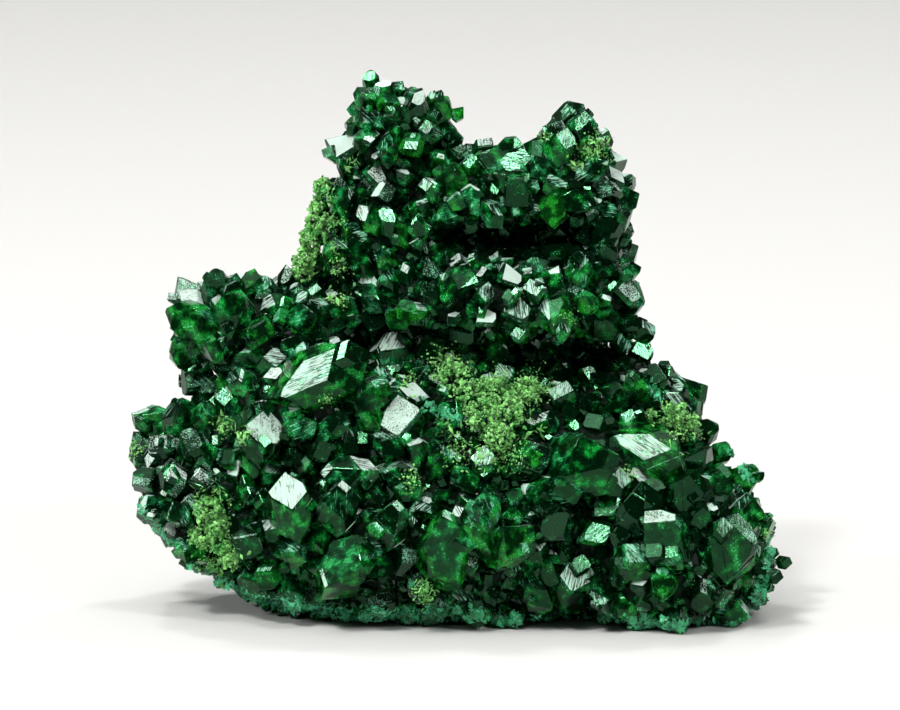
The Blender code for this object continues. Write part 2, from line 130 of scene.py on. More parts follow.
LEDGE = (
    (-8.8, 36.9, 1.7, 0.8, -40, 40, 10), (-6.2, 37.1, 1.8), (-8.1, 34.7, 1.7, 0.7, 0, 30, 0),
    (-4.1, 35.6, 1.6), (-2.1, 35.8, 1.8, 0.8, -10, 35, 20), (0.6, 34.3, 2.3, 0.8, 25, 35, 5),
    (5.7, 35.2, 1.7, 0.7, -10, 50, 10), (12.7, 35.6, 2.2, 0.7, 5, 30, 20), (9.8, 34.7, 2.0, 0.9, 20, 45, 0),
    (10.6, 31.8, 2.3, 0.8, 172, 35, 10), (6.6, 31.8, 2.3, 0.8, -5, 15, 5),
    (3.6, 31.1, 1.7, 0.7, -30, 35, 0), (4.5, 28.5, 2.0, 0.8, 175, 35, 15),
    (17.2, 33.8, 2.0, 0.8, 10, 45, 5), (15.6, 31.3, 1.9, 1.0, 176, 12, 30), (18.0, 30.8, 1.8),
    (16.8, 28.8, 1.7, 0.7, 20, 35, 0), (13.4, 33.0, 1.6), (-10.9, 32.2, 2.0), (-3.6, 32.2, 1.9),
)
LEFT_LOBE = (
    (-26.0, 33.6, 2.2, 0.8, -35, 20, 0), (-23.3, 34.3, 2.1, 0.8, -5, 20, 10),
    (-25.6, 30.8, 3.0, 0.8, -60, 35, 10), (-21.6, 32.0, 2.6, 0.8, 12, 35, 0),
    (-20.0, 34.3, 1.9, 0.8, 20, 20, 0), (-17.1, 32.6, 1.9, 0.7, 45, 45, 0),
    (-16.3, 35.2, 1.3, 1.2, 0, 10, 0), (-26.4, 28.0, 2.0), (-23.4, 28.6, 1.9),
    (-20.0, 27.3, 2.2, 0.7, 5, 50, 0), (-25.0, 24.8, 2.6, 0.8, -40, 20, 15),
    (-21.9, 24.7, 2.3, 0.8, 10, 35, 5),
)
LEFT_SLOPE = (
    (-13.6, 25.4, 3.5, 1.5, 66, 12, 25), (-22.2, 22.8, 1.7, 0.7, 0, 30, 0),
    (-6.0, 27.0, 3.1, 0.9, 40, 40, 10), (-8.6, 23.8, 2.6), (-4.5, 20.8, 2.7, 0.8, -8, 35, 0),
    (-8.0, 21.6, 1.7, 0.9, -10, 10, 30), (-5.9, 18.9, 2.2, 0.8, 130, 30, 0),
    (-18.8, 19.4, 3.1, 0.7, 20, 20, 30), (-29.3, 21.0, 2.0), (-26.8, 21.3, 1.9), (-30.5, 18.3, 1.9),
    (-29.7, 15.6, 1.7), (-27.3, 15.6, 1.9), (-24.4, 15.6, 1.9), (-29.0, 12.4, 1.8), (-26.3, 12.0, 2.0),
    (-25.4, 8.6, 2.0), (-21.6, 6.0, 1.9),
)
LOWER_FRONT = (
    (-15.4, 12.6, 3.5, 0.8, -5, 15, 5), (-11.0, 12.6, 2.6, 0.9, 15, 25, 30),
    (-9.2, 15.6, 2.9, 0.9, -80, 10, 25), (-5.9, 10.9, 2.4, 0.9, 5, 20, 5),
    (-0.6, 8.6, 3.3, 1.8, -10, 6, 30), (2.5, 10.6, 2.3, 1.5, -14, 10, 20),
    (-10.6, 6.8, 3.2, 0.8, 30, 10, 0), (-4.6, 15.6, 2.3, 0.8, 120, 25, 15),
    (-1.0, 17.0, 1.7, 0.8, 0, 20, 0), (1.5, 15.3, 1.7, 0.9, -25, 25, 10), (3.6, 17.0, 1.8, 0.7, 0, 25, 0),
    (-2.8, 4.9, 1.9, 0.8, -40, 25, 0), (5.8, 9.0, 2.7, 0.9, 50, 20, 20), (9.2, 14.2, 2.0, 0.7, 40, 20, 30),
    (12.6, 16.8, 4.0, 0.9, 82, 22, 15), (7.6, 17.4, 2.8, 0.8, 60, 30, 0),
    (19.6, 18.6, 3.0, 1.8, 126, 18, 5), (16.2, 14.9, 1.9, 0.7, 20, 30, 30),
    (15.2, 12.6, 1.7, 0.9, 60, 15, 5), (14.3, 10.4, 1.8), (10.4, 10.6, 2.1),
    (8.4, 4.4, 2.0, 0.8, -20, 20, 30), (12.0, 5.4, 2.5, 0.8, 30, 15, 30), (5.8, 2.6, 1.8, 1.0, 2, 8, 30),
    (17.8, 7.4, 2.3, 0.8, -30, 35, 30), (18.4, 12.0, 2.7, 1.0, 4, 12, 25),
    (21.4, 9.4, 3.0, 0.8, -40, 20, 10), (27.0, 8.4, 3.3, 0.9, 12, 8, 30), (28.7, 11.4, 2.4),
    (22.8, 13.9, 2.4, 0.8, 20, 20, 30), (24.2, 16.6, 2.2), (21.0, 5.4, 1.9), (15.4, 3.9, 1.9),
    (25.0, 4.0, 1.8), (27.8, 2.6, 2.0), (-15.4, 8.2, 1.9), (-15.2, 4.6, 1.9), (-18.6, 5.6, 1.9),
    (-19.6, 9.6, 2.0), (-19.5, 14.2, 2.2),
)
RIGHT_EDGE = (
    (18.6, 24.7, 1.7), (16.2, 22.8, 1.7), (20.6, 22.6, 1.6), (25.2, 20.0, 1.8, 0.8, 50, 20, 0),
    (28.7, 15.3, 2.3, 0.8, 50, 20, 20), (31.0, 10.9, 1.9), (31.2, 7.4, 1.8), (30.6, 4.0, 1.8),
)

# Crystals that a rule sets on the rest of the mass, on the back and the sides.
BACK_RADII = (2.4, 4.0)
BACK_SPACING = 0.92               # how far apart two middles stay, as a share of the sum of their radii
BACK_TRIES = 1500
BACK_FACING = 0.2                 # how far from the viewer the mass turns where these start
EDGE_SINK = 0.8                   # how deep, in radii, they are sunk where the mass turns sideways
LOWEST_MIDDLE = 1.6               # no crystal's middle is lower than this

# Malachite crusts: lumps placed in the picture plane, as across, up and radius.
MALACHITE = {
    "malachite_slope": (
        (0.4, 25.6, 2.0), (2.0, 23.8, 2.1), (4.2, 24.4, 2.0), (3.2, 21.8, 2.1), (5.6, 22.4, 2.0),
        (4.6, 19.8, 2.1), (7.4, 24.2, 1.9),
    ),
    "malachite_wall": (
        (-12.6, 44.4, 1.3), (-13.0, 42.8, 1.4), (-13.4, 41.0, 1.4), (-13.8, 39.2, 1.5),
        (-14.4, 37.4, 1.6), (-14.8, 35.8, 1.5), (-12.2, 40.6, 1.5),
    ),
    "malachite_foot": (
        (-23.9, 12.6, 1.6), (-23.0, 10.9, 1.6), (-24.6, 10.0, 1.6), (-22.6, 9.2, 1.5), (-21.6, 7.6, 1.5),
    ),
    "malachite_shoulder": (
        (20.8, 21.9, 1.6), (22.4, 21.8, 1.6), (23.8, 21.0, 1.5),
    ),
}
MALACHITE_POISE = 0.35            # a lump's middle stands this share of its radius out of the mass

# Smaller crystals that the solid leaves out, in the same columns.
FINE_CRYSTALS = (
    (-8.2, 52.9, 1.4), (-3.9, 48.7, 1.5), (-4.5, 45.3, 1.2), (-6.5, 44.0, 1.4, 0.7, 80, 50, 0),
    (-1.6, 43.9, 1.4), (-3.0, 42.4, 1.3), (-0.6, 41.2, 1.5), (-1.2, 46.9, 1.4),
    (2.0, 46.4, 1.2, 1.0, 5, 40, 15), (3.4, 48.0, 1.4), (10.7, 50.0, 1.3), (14.8, 47.4, 1.4),
    (15.6, 42.2, 1.4), (13.6, 39.9, 1.6), (-6.0, 34.8, 1.5), (3.0, 35.2, 1.4),
    (3.4, 33.6, 1.4, 0.8, 5, 30, 0), (8.4, 34.0, 1.3, 0.7, -10, 25, 0), (15.9, 35.7, 1.5),
    (17.6, 36.0, 1.4, 0.8, 70, 10, 0), (19.2, 30.2, 1.4), (19.0, 27.9, 1.4), (-7.4, 31.6, 1.7),
    (-18.5, 34.6, 1.2, 0.8, 0, 10, 20), (-18.9, 30.0, 1.8), (-14.6, 31.3, 1.7),
    (-9.6, 26.4, 1.7, 0.7, 10, 30, 0), (-11.4, 20.7, 1.4, 1.6, 50, 15, 10),
    (-14.9, 20.6, 1.4, 1.5, 70, 20, 25), (-10.4, 18.3, 1.4, 1.2, 40, 20, 0), (-12.6, 18.6, 1.5),
    (-28.3, 18.6, 1.6), (-25.4, 18.8, 1.6), (-25.2, 13.2, 1.5), (3.3, 12.6, 1.8, 1.0, 0, 10, 30),
    (2.8, 3.0, 1.6, 0.9, 0, 5, 30), (4.4, 1.9, 1.3, 0.9, 4, 5, 30), (-6.6, 3.4, 1.6), (-6.8, 7.0, 1.6),
    (-15.2, 4.4, 1.6), (22.0, 2.2, 1.6), (13.5, 25.7, 1.3, 0.7, 20, 30, 0),
    (27.0, 18.1, 1.4, 0.8, 30, 20, 0), (6.0, 11.8, 1.5, 0.8, 0, 40, 10), (10.2, 12.9, 1.3),
    (14.2, 13.6, 1.3), (16.6, 9.9, 1.4, 0.8, 20, 20, 0), (24.6, 11.9, 1.6), (-3.0, 12.7, 1.4),
    (-7.4, 13.6, 1.3), (-12.8, 9.6, 1.5), (-17.9, 16.0, 1.5), (-21.9, 17.4, 1.5), (-12.7, 39.9, 1.5),
    (-12.9, 36.3, 1.6),
)

# Patches of the picture where malachite grains lie loose on the crystals: across, up, spread and how many.
MALACHITE_DUST = (
    (-0.5, 26.8, 1.6, 260), (5.0, 25.4, 1.4, 160), (8.2, 24.6, 1.6, 140), (-4.0, 25.3, 1.0, 60),
    (1.0, 18.4, 1.6, 160), (6.0, 18.0, 1.4, 120), (-3.6, 15.6, 1.0, 90), (-2.6, 4.6, 1.0, 110),
    (14.2, 48.4, 1.4, 150), (9.4, 49.6, 0.6, 40), (-11.6, 41.0, 0.9, 120), (-11.2, 36.6, 0.9, 120),
    (-10.9, 33.2, 0.8, 60), (-31.4, 18.6, 0.9, 120), (-23.2, 12.6, 1.2, 130), (-22.2, 9.6, 0.9, 60),
    (-23.4, 7.2, 1.4, 120), (-22.4, 20.6, 0.9, 60), (23.0, 20.6, 1.2, 120), (31.4, 10.0, 0.6, 50),
    (12.0, 31.6, 0.8, 40), (-12.0, 23.4, 0.7, 40), (17.6, 16.2, 0.6, 30),
)
# Tufts of malachite blades, in the same way.
MALACHITE_TUFTS = (
    (-0.4, 27.4, 0.8, 26), (0.6, 27.0, 0.7, 22), (1.8, 26.4, 0.9, 26), (9.2, 24.8, 0.9, 30),
    (7.8, 24.0, 0.8, 22), (6.4, 22.0, 1.6, 50), (4.2, 18.6, 1.8, 60), (8.0, 20.6, 1.2, 30),
    (-0.4, 20.6, 1.0, 26), (-4.0, 25.0, 0.9, 20), (-22.4, 21.0, 1.0, 40), (-24.0, 13.6, 1.4, 60),
    (-21.8, 8.2, 1.2, 46), (-23.8, 6.4, 1.2, 40), (21.6, 20.6, 1.2, 44), (24.6, 20.0, 1.0, 26),
    (-2.6, 4.4, 1.0, 40), (-12.2, 44.0, 0.8, 40), (-13.4, 40.0, 0.9, 46), (-14.2, 36.6, 0.9, 46),
    (-11.4, 38.6, 0.8, 30), (14.6, 48.2, 1.0, 36), (12.6, 46.8, 0.8, 20), (-9.8, 46.8, 0.7, 14),
    (-11.6, 33.6, 0.9, 24), (-20.4, 19.8, 0.8, 20),
)
# Bands of the picture along which the teal rind shows: from, to, half-width and how many.
RIND_BANDS = (
    ((-19.5, 3.6), (-10.0, 2.0), 0.7, 420), ((-10.0, 2.0), (0.6, 2.4), 0.8, 520),
    ((0.6, 2.2), (9.5, 1.3), 0.7, 320), ((9.5, 1.2), (19.0, 1.4), 0.8, 460),
    ((19.0, 1.3), (29.2, 0.7), 0.8, 560), ((29.6, 1.4), (31.2, 5.6), 0.7, 260),
    ((31.4, 6.6), (32.0, 9.8), 0.5, 160), ((27.8, 19.6), (29.6, 15.4), 0.5, 120),
    ((19.8, 24.8), (20.8, 23.6), 0.5, 70), ((-2.4, 23.0), (1.0, 21.4), 0.7, 120),
    ((-26.0, 6.6), (-19.5, 3.6), 0.7, 300), ((-31.6, 13.6), (-27.4, 8.6), 0.6, 120),
)

# Where the picture shows facets that throw the light straight back: across and up.
FLASHES = (
    (-6.6, 54.0), (-3.2, 51.9), (-6.5, 44.1), (0.1, 45.3), (-6.2, 41.1), (2.1, 46.5), (5.0, 47.0),
    (13.2, 49.8), (10.8, 48.3), (10.6, 44.3), (-8.1, 34.7), (5.6, 35.4), (9.8, 34.8), (8.4, 34.1),
    (3.7, 30.9), (17.3, 33.9), (15.6, 31.3), (16.8, 28.8), (-17.1, 32.7), (-16.3, 35.2), (-20.0, 27.3),
    (-13.6, 25.4), (-22.2, 22.8), (-6.0, 27.0), (-4.5, 20.8), (-18.8, 19.4), (-15.4, 12.6), (-11.2, 12.5),
    (-5.9, 10.9), (-0.6, 8.6), (-10.6, 6.8), (3.2, 16.7), (-6.0, 19.2), (13.5, 25.6), (18.8, 24.5),
    (12.6, 16.8), (19.6, 18.6), (15.4, 12.8), (21.4, 9.4), (27.0, 8.4), (25.3, 20.1), (16.0, 14.7),
    (14.5, 10.5), (12.0, 5.4), (6.4, 2.6), (17.8, 7.4), (-3.9, 48.9), (-1.6, 46.5), (-1.6, 43.6),
    (-3.3, 42.7), (-10.5, 49.1), (-7.6, 46.1), (13.0, 50.9), (7.0, 42.0), (-6.4, 34.9), (2.0, 34.5),
    (7.0, 32.8), (4.8, 28.8), (11.6, 33.0),
)
# Where it shows such facets on small crystals.
GLINTS = (
    (-15.1, 20.6), (-12.8, 22.0), (-11.3, 20.8), (-10.0, 18.2), (-0.9, 17.6), (0.9, 16.4), (1.7, 15.0),
    (9.7, 17.4), (-10.4, 12.2), (-6.3, 12.5), (-5.2, 9.4), (3.1, 12.4), (4.7, 10.0), (6.4, 7.3),
    (9.5, 10.0), (8.1, 9.4), (4.7, 1.7), (-0.4, 7.3), (-14.0, 10.8), (-16.7, 5.8), (-18.0, 12.0),
    (-21.6, 15.6), (-26.0, 21.0), (-8.4, 30.4), (-2.8, 30.2), (-5.0, 31.6), (14.4, 34.2), (12.2, 17.4),
    (22.4, 13.2), (18.0, 4.6), (22.6, 5.2), (26.8, 3.6),
)
GLINT_RADIUS = 1.8                # glints are on crystals no larger than this
GLINT_REACH = 1.6                 # and no further from the place in the picture than this

# Places in the picture where light fills the crystals, whose colour a painted glow brightens there: across,
# up and half-axes.
PAINTED_GLOW_PLACES = (
    (-5.0, 46.5, 8.5, 8.0), (-21.5, 32.0, 8.0, 3.0), (5.0, 32.6, 11.0, 3.4), (11.0, 45.6, 4.6, 4.0),
    (-7.0, 40.6, 4.0, 3.0), (-14.6, 10.4, 3.4, 3.0), (29.0, 13.6, 3.0, 5.0), (-28.0, 19.0, 3.0, 3.0),
)

# Places in the picture where fine pits frost the facets, and where the upper facets get more pale skin as a
# painted highlight over a darker tone, in the same way.
FROSTED_AND_HIGHLIGHT_PLACES = (
    (-27.6, 14.4, 4.6, 5.6), (-21.8, 7.4, 3.0, 3.4), (-9.4, 47.0, 3.6, 3.4), (-4.4, 44.6, 2.6, 2.0),
    (-3.6, 51.6, 2.4, 1.4), (-24.6, 33.4, 4.4, 1.6), (-11.0, 28.2, 2.4, 2.0), (-5.4, 28.0, 3.0, 2.6),
    (-1.6, 14.2, 2.4, 2.6), (-3.6, 22.8, 2.0, 1.6), (13.4, 44.6, 2.4, 1.6), (4.4, 34.6, 2.6, 1.2),
    (23.6, 12.6, 2.6, 1.6), (2.0, 30.6, 2.4, 1.4),
)

# Places in the picture that lie in deep shade, where painted shade darkens the growth's colour and fades its
# etched skin, in the same way.
PAINTED_SHADE_PLACES = (
    (7.6, 39.2, 10.5, 2.4), (13.5, 25.8, 7.5, 3.4), (16.0, 22.6, 5.0, 3.0), (-11.5, 29.0, 4.0, 2.0),
    (4.0, 5.6, 3.0, 2.2), (14.6, 8.6, 6.0, 3.2), (20.0, 11.6, 3.4, 2.6), (-13.6, 17.4, 3.4, 2.0),
    (10.0, 12.0, 3.0, 1.6), (-4.0, 30.4, 6.0, 1.6), (24.6, 12.6, 2.4, 2.0),
)

SIDE_TURNS = [math.tau * (k + 0.5) / PRISM_SIDES for k in range(PRISM_SIDES)]
END_TURNS = [math.tau * k / PRISM_SIDES for k in range(PRISM_SIDES)]
FACET_NORMALS = np.array(
    [(math.cos(turn), math.sin(turn), 0) for turn in SIDE_TURNS]
    + [(RHOMB_SLOPE * math.cos(turn), RHOMB_SLOPE * math.sin(turn), 1 if k % 2 == 0 else -1)
       for k, turn in enumerate(END_TURNS)])
FACET_NORMALS /= np.linalg.norm(FACET_NORMALS, axis=1)[:, None]


def facet_distances(stretch: float) -> np.ndarray:
    """Works out where the faces of an even crystal with a radius of 1 lie.

    Args:
        stretch: the length of a prism edge, in radii.

    Returns:
        How far each of the 12 faces is from the middle.
    """
    peak = stretch / 2 + 0.75 * RHOMB_SLOPE
    sides = [math.cos(math.pi / PRISM_SIDES)] * PRISM_SIDES
    ends = [peak / math.hypot(1, RHOMB_SLOPE)] * PRISM_SIDES
    return np.array(sides + ends)


@dataclass(frozen=True)
class Crystal:
    """One dioptase crystal: a hexagonal prism between two rhombohedra.

    Args:
        middle: its middle, in millimetres.
        turn: the turn that takes Z to its axis.
        radius: from its axis to a prism edge, in millimetres.
        stretch: the length of a prism edge, in radii.
        flash: the facet that throws the light back, or -1.
        painted_shade: how deep it lies in a gap between larger crystals, from 0 to 1, which darkens its
            colour as painted shade.
    """

    middle: Vector
    turn: Matrix
    radius: float
    stretch: float
    flash: int = -1
    painted_shade: float = 0.0

    def normals(self) -> np.ndarray:
        """Returns the outward direction of each face."""
        return FACET_NORMALS @ np.array(self.turn).T

    def holds(self, points: np.ndarray, margin: float) -> np.ndarray:
        """Tells which points lie inside the crystal.

        Args:
            points: one row for each point, in millimetres.
            margin: how far inside a point has to be, in radii.

        Returns:
            True for each point that is inside.
        """
        reach = (points - np.array(self.middle)) @ self.normals().T
        return (reach < (facet_distances(self.stretch) - margin) * self.radius).all(axis=1)

    def flashing(self, half_ways: Sequence[Vector]) -> "Crystal":
        """Turns the crystal as little as makes one facet throw a light back.

        Args:
            half_ways: the directions half-way from a viewer to each light.

        Returns:
            The turned crystal.
        """
        normals = self.normals()
        match = normals @ np.array(half_ways).T
        facet, light = np.unravel_index(match.argmax(), match.shape)
        swing = Vector(normals[facet]).rotation_difference(half_ways[light]).to_matrix()
        return replace(self, turn=swing @ self.turn, flash=int(facet))


def painted_gap_shade(crystals: list[Crystal], larger: list[Crystal]) -> list[Crystal]:
    """Finds the crystals that lie in a gap between larger ones, where hardly any light comes, and sets how
    much painted shade darkens their colour there.

    Args:
        crystals: the crystals to look at.
        larger: the crystals that may stand over them.

    Returns:
        The same crystals, with their painted shade.
    """
    tops = np.array([other.middle for other in larger])
    radii = np.array([other.radius for other in larger])
    found = []
    for crystal in crystals:
        offsets = tops - np.array(crystal.middle)
        gaps = np.linalg.norm(offsets, axis=1) - radii
        over = offsets @ np.array(outward(crystal.middle)) + radii * WALL_TOP
        walls = int(((gaps < GAP_WIDTH) & (over > crystal.radius * WALL_RISE)).sum())
        found.append(replace(crystal, painted_shade=min(1.0, walls / DARK_WALLS)))
    return found


def lies_in(place: Vector, areas: Iterable[Row]) -> bool:
    """Tells whether a place lies in one of the picture's areas.

    Args:
        place: the place, in millimetres.
        areas: ellipses of the picture: across, up and half-axes.

    Returns:
        True where it does.
    """
    across, up = place.dot(RIGHT), place.dot(PICTURE_UP) + BASE_LINE_UP
    return any(((across - x) / half_x) ** 2 + ((up - y) / half_y) ** 2 < 1 for x, y, half_x, half_y in areas)


def ellipsoid_distance(point: Sequence[float], lump: Lump) -> float:
    """Measures roughly how far a point is outside an ellipsoid.

    Args:
        point: the point, in millimetres.
        lump: the ellipsoid's centre and half-axes.

    Returns:
        The distance in millimetres, negative inside.
    """
    cx, cy, cz, rx, ry, rz = lump
    x, y, z = point[0] - cx, point[1] - cy, point[2] - cz
    reach = math.sqrt((x / rx) ** 2 + (y / ry) ** 2 + (z / rz) ** 2)
    steepness = math.sqrt((x / rx ** 2) ** 2 + (y / ry ** 2) ** 2 + (z / rz ** 2) ** 2)
    return -min(rx, ry, rz) if steepness < 1e-9 else reach * (reach - 1) / steepness


def mass_distance(point: Sequence[float]) -> float:
    """Measures how far a point is outside the broken mass with its hollows.

    Args:
        point: the point, in millimetres.

    Returns:
        The distance in millimetres, negative inside.
    """
    solid = min(ellipsoid_distance(point, lump) for lump in LUMPS)
    hollow = min(ellipsoid_distance(point, lump) for lump in HOLLOWS)
    return max(solid, -hollow)


def outward(point: Sequence[float], step: float = 0.2) -> Vector:
    """Finds the direction out of the mass at a point near its surface.

    Args:
        point: the point, in millimetres.
        step: how far to either side the mass is measured, in millimetres.

    Returns:
        The direction.
    """
    slope = []
    for axis in range(3):
        ahead, behind = list(point), list(point)
        ahead[axis] += step
        behind[axis] -= step
        slope.append(mass_distance(ahead) - mass_distance(behind))
    return Vector(slope).normalized()


def on_picture(across: float, up: float) -> Vector:
    """Returns the point of the picture plane through the origin, in millimetres."""
    return RIGHT * across + PICTURE_UP * (up - BASE_LINE_UP)


def seen_at(across: float, up: float) -> Vector:
    """Finds the point of the mass that the viewer sees at a place in the picture.

    Args:
        across: the place, in millimetres to the right.
        up: its height in the picture, in millimetres.

    Returns:
        The point, or the nearest one where the view passes by.
    """
    start = on_picture(across, up)
    nearest, best = start, math.inf
    depth = -SIGHT_REACH
    while depth < SIGHT_REACH:
        point = start + AWAY * depth
        gap = mass_distance(point)
        if gap < best:
            nearest, best = point, gap
        if gap <= 0:
            break
        depth += SIGHT_STEP
    return nearest


def turned_to(axis: Vector, spin: float) -> Matrix:
    """Makes the turn that takes Z to an axis.

    Args:
        axis: where Z goes.
        spin: the turn about it in radians, 0 where X is as near the viewer as it can be.

    Returns:
        The turn.
    """
    side = -AWAY - axis * (-AWAY).dot(axis)
    side = (RIGHT if side.length < 0.05 else side).normalized()
    side = (side - axis * side.dot(axis)).normalized()
    basis = Matrix((side, axis.cross(side), axis)).transposed()
    return basis @ Matrix.Rotation(spin, 3, "Z")


def posture(clock: float, toward: float, spin: float) -> Matrix:
    """Makes the turn that points a crystal's axis as the picture shows it.

    Args:
        clock: the axis's clock direction in the picture, in degrees.
        toward: how far it turns towards the viewer, in degrees.
        spin: the turn about the axis, in degrees.

    Returns:
        The turn.
    """
    clock, toward, spin = map(math.radians, (clock, toward, spin))
    flat = RIGHT * math.sin(clock) + PICTURE_UP * math.cos(clock)
    return turned_to(flat * math.cos(toward) - AWAY * math.sin(toward), spin)


def grown_turn(normal: Vector, chance: random.Random) -> Matrix:
    """Draws the turn of a crystal that grew freely.

    Args:
        normal: the way out of the mass.
        chance: draws how its axis leans from that, and its spin.

    Returns:
        The turn.
    """
    lean = Vector((chance.uniform(-1, 1), chance.uniform(-1, 1), chance.uniform(-0.6, 1)))
    axis = (normal + lean * LEAN).normalized()
    return turned_to(axis, chance.uniform(0, math.tau / 3))


def random_way(chance: random.Random) -> Vector:
    """Draws a direction, all of them being as likely."""
    return Vector([chance.gauss(0, 1) for _ in range(3)]).normalized()


def crystals_of(rows: Iterable[Row], chance: random.Random) -> list[Crystal]:
    """Places the crystals of a table on the mass.

    Args:
        rows: the table's rows.
        chance: draws the posture of the crystals whose row gives none.

    Returns:
        The crystals, in the table's order.
    """
    placed = []
    for across, up, radius, *pose in rows:
        seat = seen_at(across, up)
        turn = grown_turn(outward(seat), chance)
        stretch = chance.uniform(*FREE_STRETCH)
        if pose:
            stretch, turn = pose[0], posture(*pose[1:])
        placed.append(Crystal(seat - AWAY * radius * POISE, turn, radius, stretch))
    return placed


def back_crystals(placed: list[Crystal], chance: random.Random) -> list[Crystal]:
    """Sets crystals on the back and the sides by a rule, as the solid has them.

    Args:
        placed: the crystals that already stand on the mass.
        chance: draws the new ones.

    Returns:
        The new crystals.
    """
    added: list[Crystal] = []
    for _ in range(BACK_TRIES):
        cx, cy, cz, rx, ry, rz = chance.choice(LUMPS)
        way = random_way(chance)
        radius = chance.uniform(*BACK_RADII)
        stretch = chance.uniform(*FREE_STRETCH)
        seat = Vector((cx + rx * way.x, cy + ry * way.y, cz + rz * way.z))
        if abs(mass_distance(seat)) > 0.15 or seat.z < LOWEST_MIDDLE:
            continue
        normal = outward(seat)
        facing = normal.dot(AWAY)
        if facing < BACK_FACING:
            continue
        turn = grown_turn(normal, chance)
        middle = seat - normal * radius * EDGE_SINK * (1 - facing)
        crowded = any((middle - other.middle).length < BACK_SPACING * (radius + other.radius)
                      for other in placed + added)
        if not crowded:
            added.append(Crystal(middle, turn, radius, stretch))
    return added


def linear(hex_colour: str) -> tuple[float, float, float, float]:
    """Turns an sRGB hex colour to linear.

    Args:
        hex_colour: the colour, such as "#14AC36".

    Returns:
        Red, green, blue and alpha, as Blender's sockets take them.
    """
    parts = [int(hex_colour[i:i + 2], 16) / 255 for i in (1, 3, 5)]
    red, green, blue = (c / 12.92 if c <= 0.04045 else ((c + 0.055) / 1.055) ** 2.4 for c in parts)
    return (red, green, blue, 1.0)


def add_node(tree: bpy.types.NodeTree, kind: str, values: dict | None = None, links: dict | None = None,
             **settings: object) -> bpy.types.Node:
    """Adds a node with its settings and links.

    Args:
        tree: the node tree.
        kind: the node's type name, without ShaderNode.
        values: input sockets and the values they take.
        links: input sockets and the nodes or output sockets that feed them.
        settings: the node's own properties.

    Returns:
        The new node.
    """
    made = tree.nodes.new("ShaderNode" + kind)
    for name, setting in settings.items():
        setattr(made, name, setting)
    for socket, value in (values or {}).items():
        made.inputs[socket].default_value = value
    for socket, source in (links or {}).items():
        feed = source.outputs[0] if isinstance(source, bpy.types.Node) else source
        tree.links.new(feed, made.inputs[socket])
    return made


def bare_material(name: str) -> bpy.types.Material:
    """Makes a material with an empty node tree.

    Args:
        name: its name.

    Returns:
        The material.
    """
    material = bpy.data.materials.new(name)
    material.use_nodes = True
    material.node_tree.nodes.clear()
    return material


def linked(name: str, data: bpy.types.ID | None) -> bpy.types.Object:
    """Makes an object and links it to the scene.

    Args:
        name: its name.
        data: its mesh, light or camera.

    Returns:
        The object.
    """
    made = bpy.data.objects.new(name, data)
    bpy.context.scene.collection.objects.link(made)
    return made


def per_metre(size_mm: float) -> float:
    """Returns the scale of a pattern whose features are this many millimetres apart."""
    return 1 / (size_mm * MM)


